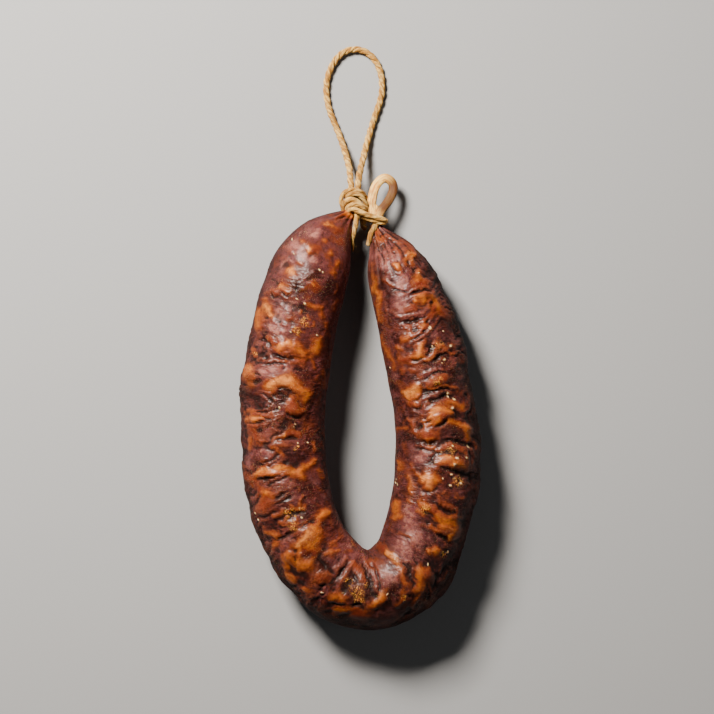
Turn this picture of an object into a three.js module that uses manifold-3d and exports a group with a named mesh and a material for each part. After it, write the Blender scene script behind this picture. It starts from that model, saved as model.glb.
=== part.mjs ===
// Cured sausage: a horseshoe of dry-cured sausage whose two ends are tied together with twine.
//
// Millimetres, +Z up. The sausage lies on a surface at z = 0 with its tied ends towards +Y.
// x = 0, y = 0 is the middle of the outline of the sausage, its knot and its folded casing end,
// without the long hanging loop.

import * as THREE from 'three';
import { mergeVertices } from 'three/addons/utils/BufferGeometryUtils.js';
import Module from 'manifold-3d';

// Driving dimensions of the sausage.
const CLEARANCE = 0.3; // gap that separate pieces keep between them
const SINK = 0.9; // how far the round belly is pressed flat where it lies
const TIP_HEIGHT = 10.5; // height of the middle of both tied tips
const NECK_RADIUS = 2.1; // bunched casing right at the tie
const LEFT_TAPER = { reach: 14.0, sharpness: 1.4 }; // blunt shoulder of the left end
const RIGHT_TAPER = { reach: 15.5, sharpness: 1.7 }; // pointed, then full shoulder of the right end

// Middle line from the left tip, down round the bend and up to the right tip: x, y, radius.
const STATIONS = [
  [-3.8, 80.0, 16.8],
  [-14.3, 67.5, 16.8],
  [-24.8, 42.8, 17.5],
  [-31.9, 3.4, 17.9],
  [-30.2, -37.0, 17.5],
  [-24.8, -54.6, 17.2],
  [-14.3, -70.6, 17.3],
  [3.2, -79.0, 16.8],
  [20.2, -70.3, 17.4],
  [27.7, -53.8, 17.4],
  [31.5, -37.0, 17.8],
  [30.4, 3.4, 17.2],
  [25.9, 23.8, 16.8],
  [20.6, 43.7, 15.7],
  [11.6, 63.8, 15.2],
  [5.9, 75.2, 15.2],
];
const RINGS = 126;
const SIDES = 32;
const TIP_DENSITY = 0.5; // how much closer the rings stand at the tips
const TIP_ROOM = 30; // length of each end that the knot is cut round

// Lumps of fat that push the casing out, on the side that shows:
// x, y, half size round the girth, half size along the sausage, lean in degrees, height.
const LUMPS = [
  [-30.7, 22.7, 6.1, 2.7, 0, 0.7],
  [-45.8, 12.6, 2.6, 3.4, 0, 0.8],
  [-28.6, 6.7, 7.8, 4.6, 8, 1.0],
  [-26.9, -2.3, 3.4, 3.0, 0, 0.7],
  [-31.9, -17.2, 5.2, 1.8, 5, 0.8],
  [-37.0, -29.4, 7.0, 1.7, 12, 0.9],
  [-24.8, -29.8, 2.5, 2.3, 0, 0.6],
  [-21.0, -54.2, 5.4, 6.4, 0, 1.0],
  [-22.7, -66.0, 4.2, 4.0, 0, 0.8],
  [-29.8, -62.8, 2.5, 2.7, 0, 0.6],
  [-28.6, -49.6, 3.8, 2.7, 0, 0.7],
  [37.8, -24.8, 5.7, 2.5, 0, 0.9],
  [29.0, -32.8, 2.7, 3.4, 0, 0.6],
  [37.4, -51.7, 4.6, 4.8, 0, 0.9],
  [26.9, -70.6, 4.0, 4.4, 0, 0.8],
  [17.6, -70.6, 2.6, 3.4, 0, 0.5],
  [-8.8, -80.6, 3.0, 3.4, 0, 0.6],
  [8.8, -81.9, 3.0, 3.6, 20, 0.6],
  [25.2, 21.8, 2.4, 2.8, 0, 0.5],
  [34.0, -5.9, 4.6, 2.4, -20, 0.9],
  [28.1, -13.4, 3.0, 2.7, 0, 0.6],
  [44.1, -11.3, 3.8, 2.7, 0, 0.9],
  [36.5, 22.7, 4.2, 2.5, 0, 0.8],
  [32.3, 9.2, 3.4, 2.2, 0, 0.7],
  [23.1, 62.2, 2.4, 2.8, 0, 0.6],
  [27.3, 44.9, 3.4, 2.6, 0, 0.7],
  [-21.8, 65.1, 4.0, 4.0, 0, 0.6],
  [-41.6, 37.0, 3.0, 3.8, 0, 0.7],
];

// Creases that run part of the way round the girth, most of them on the outside of the bend.
const CREASES = {
  count: 46,
  depth: [0.7, 1.3],
  halfWidth: [1.6, 2.6],
  halfSpan: [0.45, 1.0],
  skew: 3.0,
  seed: 4127,
};
const SWELLS = { count: 9, height: 0.16, shortest: 17, longest: 60, seed: 911 };
const PLEATS = { count: 13, depth: 0.55, reach: 17 }; // casing gathered at the right tip

// Twine and knot. Each wrap of the knot: x, y of its middle, radius, lift of its front, drop to the right.
const TWINE_RADIUS = 1.4;
const WRAP_RADIUS = 1.25;
const WRAPS = [
  [-2.9, 86.0, 3.9, 1.9, 0.9],
  [-2.5, 83.3, 4.0, 1.5, 1.2],
  [-1.5, 80.9, 3.7, 1.1, 1.4],
];
const KNOT_TOP = 92.0; // where the two legs of the hanging loop leave the knot

// Half of the hanging loop's route, from the knot to its far end: x, y. It falls to the surface
// and lies there.
const LOOP_LEFT = [
  [-3.9, 92.8], [-4.3, 97.0], [-5.4, 102.3], [-7.3, 109.0], [-9.8, 115.9], [-12.4, 122.4],
  [-14.0, 128.6], [-14.3, 134.2], [-13.2, 139.7], [-10.8, 144.6], [-7.1, 148.4],
];
const LOOP_RIGHT = [
  [-2.4, 149.8], [2.4, 148.7], [6.0, 145.6], [8.4, 141.0], [9.4, 135.6], [9.1, 129.9],
  [7.1, 123.4], [4.8, 116.2], [2.7, 109.0], [1.0, 101.8], [-0.1, 96.6], [-0.7, 92.8],
];
const LOOP_FALL = 24; // length over which each leg comes down to the surface
const LOOP_REST = TWINE_RADIUS + 0.1; // height of its middle line where it lies
const LOOP_STEPS = 68;

// Empty end of the casing, folded over into a small stiff eye: x, y, z along its middle line.
const EYE_ROUTE = [
  [5.3, 78.6, 10.6], [4.9, 83.6, 10.4], [5.8, 88.2, 9.6], [7.6, 92.1, 8.4], [10.7, 93.9, 7.6],
  [13.5, 91.9, 7.4], [14.0, 88.4, 7.9], [12.3, 84.2, 9.0], [9.4, 80.8, 10.2], [7.0, 78.0, 10.9],
];
const EYE_HALF_WIDTH = 2.05;
const EYE_HALF_THICKNESS = 1.6;
const SLIVER = 0.05; // edges shorter than this are closed up after a cut

const FINISHES = {
  sausage: { color: 0x7c4630, roughness: 0.42, metalness: 0 },
  casing_eye: { color: 0xdcb68a, roughness: 0.55, metalness: 0 },
  knot: { color: 0xcdb592, roughness: 0.9, metalness: 0 },
  twine_loop: { color: 0xc9b28f, roughness: 0.9, metalness: 0 },
};

// The same pseudo-random numbers on every run (Park and Miller's minimal generator).
function randomStream(seed) {
  let state = seed;
  return () => {
    state = (state * 16807) % 2147483647;
    return state / 2147483647;
  };
}

// The smoothest curve through values[i] at knots[i]: a natural cubic spline.
function naturalSpline(knots, values) {
  const last = knots.length - 1;
  const bend = new Array(last + 1).fill(0);
  const carry = new Array(last + 1).fill(0);
  for (let i = 1; i < last; i += 1) {
    const before = knots[i] - knots[i - 1];
    const after = knots[i + 1] - knots[i];
    const slopeChange = (values[i + 1] - values[i]) / after - (values[i] - values[i - 1]) / before;
    const pivot = 2 * (before + after) - before * carry[i - 1];
    carry[i] = after / pivot;
    bend[i] = (6 * slopeChange - before * bend[i - 1]) / pivot;
  }
  for (let i = last - 1; i > 0; i -= 1) {
    bend[i] -= carry[i] * bend[i + 1];
  }
  return (t) => {
    let i = 0;
    while (i < last - 1 && t > knots[i + 1]) {
      i += 1;
    }
    const step = knots[i + 1] - knots[i];
    const b = (t - knots[i]) / step;
    const a = 1 - b;
    const curve = ((a ** 3 - a) * bend[i] + (b ** 3 - b) * bend[i + 1]) * step * step / 6;
    return a * values[i] + b * values[i + 1] + curve;
  };
}

const stationKnots = STATIONS.reduce((knots, [x, y], i) => {
  const step = i === 0 ? 0 : Math.hypot(x - STATIONS[i - 1][0], y - STATIONS[i - 1][1]);
  return [...knots, (knots[i - 1] ?? 0) + step];
}, []);
const LENGTH = stationKnots[stationKnots.length - 1];
const middleX = naturalSpline(stationKnots, STATIONS.map((station) => station[0]));
const middleY = naturalSpline(stationKnots, STATIONS.map((station) => station[1]));
const bodyRadius = naturalSpline(stationKnots, STATIONS.map((station) => station[2]));

// 0 at a tip, rising to two thirds of the full swelling at the reach and to all of it beyond.
function taperAt(distance, { reach, sharpness }) {
  return 1 - Math.exp(-((Math.max(distance, 0) / reach) ** sharpness));
}

// Middle point, outward direction in the plane, radius and taper at a distance along the sausage.
function sectionAt(s) {
  const slopeX = (middleX(s + 0.5) - middleX(s - 0.5));
  const slopeY = (middleY(s + 0.5) - middleY(s - 0.5));
  const slope = Math.hypot(slopeX, slopeY);
  const taper = taperAt(s, LEFT_TAPER) * taperAt(LENGTH - s, RIGHT_TAPER);
  const full = bodyRadius(s);
  const radius = NECK_RADIUS + (full - NECK_RADIUS) * taper;
  const height = TIP_HEIGHT + (full - SINK - TIP_HEIGHT) * taper;
  return { x: middleX(s), y: middleY(s), outX: slopeY / slope, outY: -slopeX / slope, radius, height, taper };
}

// Where a point seen from above lies on the sausage: distance along it, and angle round it.
function placeOnSausage(x, y) {
  let best = { gap: Infinity, s: 0 };
  for (let s = 0; s <= LENGTH; s += 0.5) {
    const gap = Math.hypot(middleX(s) - x, middleY(s) - y);
    best = gap < best.gap ? { gap, s } : best;
  }
  const { x: midX, y: midY, outX, outY, radius } = sectionAt(best.s);
  const offset = (x - midX) * outX + (y - midY) * outY;
  return { s: best.s, theta: Math.acos(THREE.MathUtils.clamp(offset / radius, -0.97, 0.97)), radius };
}

const placedLumps = LUMPS.map(([x, y, across, along, lean, height]) => {
  const spot = placeOnSausage(x, y);
  const turn = THREE.MathUtils.degToRad(lean);
  const foreshortening = Math.max(Math.sin(spot.theta), 0.5);
  return { ...spot, across: across / foreshortening, along, cos: Math.cos(turn), sin: Math.sin(turn), height };
});

const placedCreases = (() => {
  const draw = randomStream(CREASES.seed);
  const between = ([low, high]) => low + (high - low) * draw();
  return Array.from({ length: CREASES.count }, (_, i) => ({
    s: LENGTH * (0.07 + 0.86 * (i + 0.8 * draw()) / CREASES.count),
    theta: -0.7 + 2.5 * draw(),
    depth: between(CREASES.depth),
    halfWidth: between(CREASES.halfWidth),
    halfSpan: between(CREASES.halfSpan),
    skew: CREASES.skew * (2 * draw() - 1),
  }));
})();

const swells = (() => {
  const draw = randomStream(SWELLS.seed);
  return Array.from({ length: SWELLS.count }, () => ({
    rate: 2 * Math.PI / (SWELLS.shortest + (SWELLS.longest - SWELLS.shortest) * draw()),
    turns: Math.floor(4 * draw()),
    phase: 2 * Math.PI * draw(),
  }));
})();

// The angle from b to a, between minus pi and pi.
function angleBetween(a, b) {
  return Math.atan2(Math.sin(a - b), Math.cos(a - b));
}

// How far the skin stands out from the plain round section at this place.
function reliefAt(s, theta, section) {
  let relief = 0;
  for (const { rate, turns, phase } of swells) {
    relief += SWELLS.height * Math.sin(rate * s + turns * theta + phase);
  }
  for (const crease of placedCreases) {
    const turn = angleBetween(theta, crease.theta);
    const span = Math.abs(turn) / crease.halfSpan;
    if (span < 1) {
      const off = (s - crease.s - crease.skew * turn) / crease.halfWidth;
      relief -= crease.depth * Math.exp(-off * off) * Math.cos(span * Math.PI / 2) ** 2;
    }
  }
  for (const lump of placedLumps) {
    const along = s - lump.s;
    const across = angleBetween(theta, lump.theta) * lump.radius;
    const u = (across * lump.cos + along * lump.sin) / lump.across;
    const v = (along * lump.cos - across * lump.sin) / lump.along;
    relief += lump.height * Math.exp(-(u * u + v * v) * 0.9);
  }
  const inside = THREE.MathUtils.smoothstep(-Math.cos(theta), 0.1, 0.9);
  const below = THREE.MathUtils.smoothstep(-Math.sin(theta), 0.6, 0.95);
  const fade = THREE.MathUtils.smoothstep(section.taper, 0.1, 0.7) * (1 - 0.6 * inside) * (1 - 0.7 * below);
  const fromTip = LENGTH - s;
  const gather = THREE.MathUtils.smoothstep(fromTip, 0, 5) * (1 - THREE.MathUtils.smoothstep(fromTip, 5, PLEATS.reach));
  return relief * fade + PLEATS.depth * gather * Math.cos(PLEATS.count * theta);
}

// A closed skin over rings of points, with a point in the middle of each end.
function closedSkin(rings) {
  const sides = rings[0].length;
  const positions = rings.flat();
  const index = [];
  for (let i = 0; i < rings.length - 1; i += 1) {
    for (let j = 0; j < sides; j += 1) {
      const a = i * sides + j;
      const b = i * sides + (j + 1) % sides;
      index.push(a, a + sides, b, b, a + sides, b + sides);
    }
  }
  [0, rings.length - 1].forEach((ring, end) => {
    const middle = new THREE.Vector3();
    rings[ring].forEach((point) => middle.addScaledVector(point, 1 / sides));
    const hub = positions.push(middle) - 1;
    for (let j = 0; j < sides; j += 1) {
      const a = ring * sides + j;
      const b = ring * sides + (j + 1) % sides;
      index.push(hub, ...(end === 0 ? [a, b] : [b, a]));
    }
  });
  const geometry = new THREE.BufferGeometry().setFromPoints(positions);
  geometry.setIndex(index);
  return geometry;
}

// Distances along the sausage of its rings of points, twice as dense at the tips.
function ringPlaces() {
  return Array.from({ length: RINGS + 1 }, (_, i) => {
    const share = i / RINGS;
    return LENGTH * (share - TIP_DENSITY * Math.sin(2 * Math.PI * share) / (2 * Math.PI));
  });
}

// The sausage's skin through rings at these distances, made fatter all round by grow.
function sausageSkin(places, grow = 0) {
  const rings = [];
  for (const s of places) {
    const section = sectionAt(s);
    const ring = [];
    for (let j = 0; j < SIDES; j += 1) {
      const theta = 2 * Math.PI * j / SIDES;
      const reach = section.radius + reliefAt(s, theta, section) + grow;
      const x = section.x + section.outX * reach * Math.cos(theta);
      const y = section.y + section.outY * reach * Math.cos(theta);
      const z = section.height + reach * Math.sin(theta);
      ring.push(new THREE.Vector3(x, y, Math.max(z, -grow)));
    }
    rings.push(ring);
  }
  return closedSkin(rings);
}

// A closed tube along a smooth curve through the points, with a flattened section if asked.
function tube(points, radius, { sides = 8, steps = 16, thickness = radius } = {}) {
  const section = new THREE.Shape(Array.from({ length: sides }, (_, i) => {
    const turn = 2 * Math.PI * (i + 0.5) / sides;
    return new THREE.Vector2(thickness * Math.cos(turn), radius * Math.sin(turn));
  }));
  const route = new THREE.CatmullRomCurve3(points.map((point) => new THREE.Vector3(...point)));
  return new THREE.ExtrudeGeometry(section, { steps, extrudePath: route, bevelEnabled: false });
}

// One wrap of the knot: a ring round the core, sheared so that its front rises and its right side drops.
function wrap([x, y, radius, lift, drop]) {
  const shear = new THREE.Matrix4().set(
    1, 0, 0, x,
    -drop / radius, 1, lift / radius, y,
    0, 0, 1, TIP_HEIGHT,
    0, 0, 0, 1,
  );
  return new THREE.TorusGeometry(radius, WRAP_RADIUS, 8, 20).rotateX(Math.PI / 2).applyMatrix4(shear);
}

// Height of the hanging loop's middle line at a distance from the knot.
function loopHeight(distance) {
  return LOOP_REST + (TIP_HEIGHT - LOOP_REST) * (1 - THREE.MathUtils.smoothstep(distance, -3, LOOP_FALL));
}

function hangingLoop() {
  const route = [...LOOP_LEFT, ...LOOP_RIGHT];
  const points = route.map(([x, y]) => [x, y, loopHeight(y - KNOT_TOP)]);
  return tube(points, TWINE_RADIUS, { steps: LOOP_STEPS });
}

function casingEye(grow = 0) {
  const options = { sides: 10, steps: 30, thickness: EYE_HALF_THICKNESS + grow };
  const eye = tube(EYE_ROUTE, EYE_HALF_WIDTH + grow, options);
  const base = [[6.2, 76.6, 10.8], [5.6, 79.5, 10.6], [4.2, 82.0, 10.4], [3.4, 84.2, 10.2]];
  return [eye, tube(base, 2.0 + grow, { sides: 10, steps: 6 })];
}

// Everything tied: core, wraps, the strands across to the right end, and the cut ends.
function knotStrands() {
  const z = TIP_HEIGHT;
  const core = tube([[-3.2, 88.5, z], [-2.6, 84.0, z], [-1.4, 78.6, z]], 3.4, { steps: 6, sides: 10 });
  const leftLeg = tube([[-3.9, KNOT_TOP, loopHeight(0)], [-3.3, 86.5, z + 0.6]], TWINE_RADIUS, { steps: 3 });
  const rightLeg = tube([[-0.7, KNOT_TOP, loopHeight(0)], [-1.5, 86.5, z + 0.6]], TWINE_RADIUS, { steps: 3 });
  const across = [[-3.2, 80.8, z + 2.6], [0.4, 79.8, z + 3.5], [4.0, 78.4, z + 3.7], [7.4, 77.2, z + 3.5], [11.2, 76.8, z + 2.2]];
  const round = [
    [-1.0, 79.0, z + 2.2], [2.6, 77.4, z + 3.2], [6.4, 76.0, z + 3.5], [9.4, 75.9, z + 1.4],
    [8.8, 76.2, z - 2.4], [5.6, 76.6, z - 3.8], [1.6, 77.2, z - 3.2], [-1.4, 79.4, z - 1.4],
  ];
  const leftEnd = [[-0.8, 79.2, z + 1.8], [-1.4, 76.0, z + 2.6], [-2.2, 72.2, z + 2.8], [-2.7, 68.4, z + 2.4]];
  const rightEnd = [[4.4, 77.0, z + 3.0], [4.4, 73.6, z + 3.0], [3.4, 70.2, z + 2.4], [3.0, 66.6, z + 1.6]];
  return [
    core, leftLeg, rightLeg, ...WRAPS.map(wrap),
    tube(across, WRAP_RADIUS, { steps: 12 }),
    tube(round, WRAP_RADIUS, { steps: 18 }),
    tube(leftEnd, 1.0, { steps: 6 }),
    tube(rightEnd, 0.95, { steps: 6 }),
  ];
}

const wasm = await Module();
wasm.setup();

// A solid from a closed geometry, after its shared corners are merged.
function toSolid(geometry) {
  const bare = geometry.clone();
  bare.deleteAttribute('normal');
  bare.deleteAttribute('uv');
  const merged = mergeVertices(bare, 1e-4);
  return new wasm.Manifold(new wasm.Mesh({
    numProp: 3,
    vertProperties: new Float32Array(merged.getAttribute('position').array),
    triVerts: new Uint32Array(merged.index.array),
  }));
}

function join(geometries) {
  return geometries.map(toSolid).reduce((whole, piece) => whole.add(piece));
}

// The largest body of a solid as a geometry, without the crumbs and slivers that a cut can leave.
function toGeometry(solid) {
  const bodies = solid.simplify(SLIVER).decompose().sort((a, b) => b.volume() - a.volume());
  const { vertProperties, triVerts } = bodies[0].getMesh();
  const geometry = new THREE.BufferGeometry();
  geometry.setAttribute('position', new THREE.Float32BufferAttribute(vertProperties, 3));
  geometry.setIndex(Array.from(triVerts));
  return geometry;
}

function namedMesh(name, geometry) {
  geometry.computeVertexNormals();
  const mesh = new THREE.Mesh(geometry, new THREE.MeshStandardMaterial(FINISHES[name]));
  mesh.name = name;
  return mesh;
}

// The room that both tips take, with the clearance round it.
function tipSpace() {
  const places = ringPlaces();
  const left = [-CLEARANCE, ...places.filter((s) => s > 0 && s < TIP_ROOM)];
  const right = [...places.filter((s) => s > LENGTH - TIP_ROOM && s < LENGTH), LENGTH + CLEARANCE];
  return toSolid(sausageSkin(left, CLEARANCE)).add(toSolid(sausageSkin(right, CLEARANCE)));
}

const sausageSpace = tipSpace();
const eye = join(casingEye()).subtract(sausageSpace);
const knot = join(knotStrands()).subtract(sausageSpace).subtract(join(casingEye(CLEARANCE)));

const group = new THREE.Group();
group.add(
  namedMesh('sausage', sausageSkin(ringPlaces())),
  namedMesh('casing_eye', toGeometry(eye)),
  namedMesh('knot', toGeometry(knot)),
  namedMesh('twine_loop', hangingLoop()),
);

export default group;
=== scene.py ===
"""Cured sausage: a horseshoe of dry-cured sausage tied with twine that forms a hanging loop.

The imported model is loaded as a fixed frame. The classes below make the wrinkled casing, the
folded empty casing end, the knot and the twine loop as meshes worked out with numpy, and dress
them. Sizes in the classes are millimetres in the part's own frame; meshes are in metres.
"""

from __future__ import annotations

import logging
import math
from dataclasses import dataclass
from enum import Enum
from functools import cached_property

import bpy
import numpy as np
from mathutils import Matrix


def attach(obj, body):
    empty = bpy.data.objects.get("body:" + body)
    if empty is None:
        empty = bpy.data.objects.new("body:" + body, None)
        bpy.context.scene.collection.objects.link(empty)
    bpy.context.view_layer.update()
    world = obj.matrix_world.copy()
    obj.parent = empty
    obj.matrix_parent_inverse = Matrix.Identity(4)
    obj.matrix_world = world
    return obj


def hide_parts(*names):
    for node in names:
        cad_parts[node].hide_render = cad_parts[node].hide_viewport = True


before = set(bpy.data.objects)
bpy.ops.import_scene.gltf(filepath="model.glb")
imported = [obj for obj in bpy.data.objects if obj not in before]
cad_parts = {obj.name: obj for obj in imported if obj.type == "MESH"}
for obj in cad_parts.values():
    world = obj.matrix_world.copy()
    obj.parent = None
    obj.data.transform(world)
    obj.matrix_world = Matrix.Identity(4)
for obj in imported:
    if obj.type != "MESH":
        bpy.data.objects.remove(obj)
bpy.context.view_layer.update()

MM = 0.001
ROOT = "root"
UP = (0.0, 0.0, 1.0)
NOISE_STRENGTH = 1.5
Array = np.ndarray
Socket = bpy.types.NodeSocket
Piece = bpy.types.Object
Material = bpy.types.Material
LOG = logging.getLogger("cured_sausage")


def smoothstep(low: float, high: float, value: Array) -> Array:
    """Rise from 0 at low to 1 at high along 3 t squared minus 2 t cubed.

    Args:
        low: value where the rise starts.
        high: value where it ends; below low it is a fall.
        value: where to read it.

    Returns:
        The rise, between 0 and 1.
    """
    t = np.clip((value - low) / (high - low), 0.0, 1.0)
    return t * t * (3.0 - 2.0 * t)


class RandomStream:
    """Park and Miller's minimal generator: the state times 16807, modulo 2 to the 31st less 1."""

    def __init__(self, seed: int) -> None:
        """Start the stream at a seed."""
        self.state = seed

    def draw(self) -> float:
        """The next number between 0 and 1."""
        self.state = self.state * 16807 % 2147483647
        return self.state / 2147483647


class NaturalSpline:
    """The smoothest curve through values at knots: a cubic whose bend is 0 at both ends."""

    def __init__(self, knots: Array, values: Array) -> None:
        """Solve for the bend at each knot.

        Args:
            knots: rising places, n of them.
            values: values there, n or n by k.
        """
        self.knots = knots
        self.values = values
        step = np.diff(knots)
        count = len(knots)
        system = np.eye(count)
        inner = np.arange(1, count - 1)
        system[inner, inner - 1] = step[:-1]
        system[inner, inner] = 2 * (step[:-1] + step[1:])
        system[inner, inner + 1] = step[1:]
        slope = np.diff(values, axis=0) / step.reshape(-1, *[1] * (values.ndim - 1))
        change = np.zeros_like(values, dtype=float)
        change[1:-1] = 6 * np.diff(slope, axis=0)
        self.bend = np.linalg.solve(system, change)

    def at(self, t: Array) -> Array:
        """Read the curve.

        Args:
            t: places along the knots.

        Returns:
            The values there.
        """
        i = np.clip(np.searchsorted(self.knots, t, side="left") - 1, 0, len(self.knots) - 2)
        step = self.knots[i + 1] - self.knots[i]
        b = (t - self.knots[i]) / step
        if self.values.ndim > 1:
            step, b = step[..., None], b[..., None]
        a = 1 - b
        curve = ((a**3 - a) * self.bend[i] + (b**3 - b) * self.bend[i + 1]) * step * step / 6
        return a * self.values[i] + b * self.values[i + 1] + curve


def gradient_noise(points: Array, seed: int) -> Array:
    """Smooth noise in space.

    Each whole-number corner has a direction from a hash of its place; the noise is the blend, by
    the quintic 6 t^5 minus 15 t^4 plus 10 t^3, of the eight corners' directions times the offsets.

    Args:
        points: places, n by 3, in units of about half a wavelength.
        seed: which noise.

    Returns:
        n values between about -1 and 1.
    """
    cell = np.floor(points).astype(np.int64)
    inside = points - cell
    fade = inside**3 * (inside * (inside * 6 - 15) + 10)
    total = np.zeros(len(points))
    for corner in np.ndindex(2, 2, 2):
        at = (cell + corner).astype(np.uint64)
        mixed = at[:, 0] * 73856093 ^ at[:, 1] * 19349663 ^ at[:, 2] * 83492791
        mixed = (mixed + np.uint64(seed * 2654435761)) & np.uint64(0xFFFFFFFF)
        mixed = (mixed ^ (mixed >> np.uint64(15))) * 2246822519 & np.uint64(0xFFFFFFFF)
        mixed = (mixed ^ (mixed >> np.uint64(13))) * 3266489917 & np.uint64(0xFFFFFFFF)
        mixed ^= mixed >> np.uint64(16)
        height = (mixed & np.uint64(0xFFFF)) / 32767.5 - 1
        turn = (mixed >> np.uint64(16)) * (2 * np.pi / 65536)
        flat = np.sqrt(1 - height**2)
        direction = np.stack([flat * np.cos(turn), flat * np.sin(turn), height], axis=1)
        weight = np.prod(np.where(corner, fade, 1 - fade), axis=1)
        total += weight * np.einsum("ij,ij->i", direction, inside - np.array(corner))
    return NOISE_STRENGTH * total


def blurred(values: Array, rows: float, columns: float) -> Array:
    """Blur a grid that closes on itself across its columns.

    The grid's Fourier terms are faded by a bell curve of the two widths.

    Args:
        values: the grid.
        rows: blur width down the rows, in cells.
        columns: blur width across the columns, in cells.

    Returns:
        The blurred grid.
    """
    padded = np.concatenate([values, values[::-1]])
    down = np.fft.fftfreq(padded.shape[0])[:, None]
    across = np.fft.rfftfreq(padded.shape[1])[None, :]
    fade = np.exp(-2 * np.pi**2 * ((down * rows) ** 2 + (across * columns) ** 2))
    return np.fft.irfft2(np.fft.rfft2(padded) * fade, padded.shape)[: len(values)]


class Shape:
    """Puts worked-out points and faces into Blender meshes."""

    @staticmethod
    def closed_grid_faces(rings: int, sides: int, first: int = 0) -> Array:
        """Quads between neighbouring rings that close round, facing away from the middle.

        Args:
            rings: number of rings.
            sides: points on each ring.
            first: index of the first point.

        Returns:
            Corner indices, four to a face.
        """
        ring, side = np.meshgrid(np.arange(rings - 1), np.arange(sides), indexing="ij")
        after = (side + 1) % sides
        corners = [ring * sides + side, (ring + 1) * sides + side]
        corners += [(ring + 1) * sides + after, ring * sides + after]
        return np.stack(corners, axis=-1).reshape(-1, 4) + first

    @staticmethod
    def end_fans(rings: int, sides: int, first: int = 0) -> list[Array]:
        """Triangles that close the first and the last ring, each a fan from its first point.

        Args:
            rings: number of rings.
            sides: points on each ring.
            first: index of the first point.

        Returns:
            Corner indices, three to a face, for each end.
        """
        ring = np.arange(sides)
        fan = np.stack([ring[1:-1] * 0, ring[1:-1], ring[2:]], axis=1)
        return [fan + first, fan[:, ::-1] + first + (rings - 1) * sides]

    @staticmethod
    def build(name: str, points: Array, quads: Array, caps: list[Array]) -> Piece:
        """Make an object of quads and triangles.

        Args:
            name: the piece's name.
            points: its points in millimetres, n by 3.
            quads: corner indices, four to a face.
            caps: arrays of corner indices, three to a face.

        Returns:
            The new object, smooth shaded.
        """
        triangles = np.concatenate(caps) if caps else np.zeros((0, 3), int)
        mesh = bpy.data.meshes.new(name)
        mesh.vertices.add(len(points))
        mesh.vertices.foreach_set("co", (points * MM).astype(np.float32).ravel())
        corners = np.concatenate([quads.ravel(), triangles.ravel()])
        mesh.loops.add(len(corners))
        mesh.loops.foreach_set("vertex_index", corners.astype(np.int32))
        sizes = np.concatenate([np.full(len(quads), 4), np.full(len(triangles), 3)])
        mesh.polygons.add(len(sizes))
        starts = np.concatenate([[0], np.cumsum(sizes)[:-1]])
        mesh.polygons.foreach_set("loop_start", starts.astype(np.int32))
        mesh.polygons.foreach_set("use_smooth", np.ones(len(sizes), bool))
        mesh.update(calc_edges=True)
        mesh.validate()
        piece = bpy.data.objects.new(name, mesh)
        bpy.context.scene.collection.objects.link(piece)
        return piece

    @staticmethod
    def attribute(piece: Piece, name: str, values: Array) -> None:
        """Store one number or one vector for each point of a piece.

        Args:
            piece: the object.
            name: the attribute's name.
            values: n numbers, or n by 3.
        """
        kind, key = ("FLOAT_VECTOR", "vector") if values.ndim == 2 else ("FLOAT", "value")
        store = piece.data.attributes.new(name, kind, "POINT")
        store.data.foreach_set(key, values.astype(np.float32).ravel())


@dataclass(frozen=True)
class Pattern:
    """A noise texture's settings.

    Attributes:
        scale: noise units for each millimetre along the piece, and for each across it.
        detail: number of finer layers.
        rough: strength of each finer layer against the one before.
        warp: how far the noise is bent by itself.
    """

    scale: tuple[float, float, float]
    detail: float = 3.0
    rough: float = 0.55
    warp: float = 0.0


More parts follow.
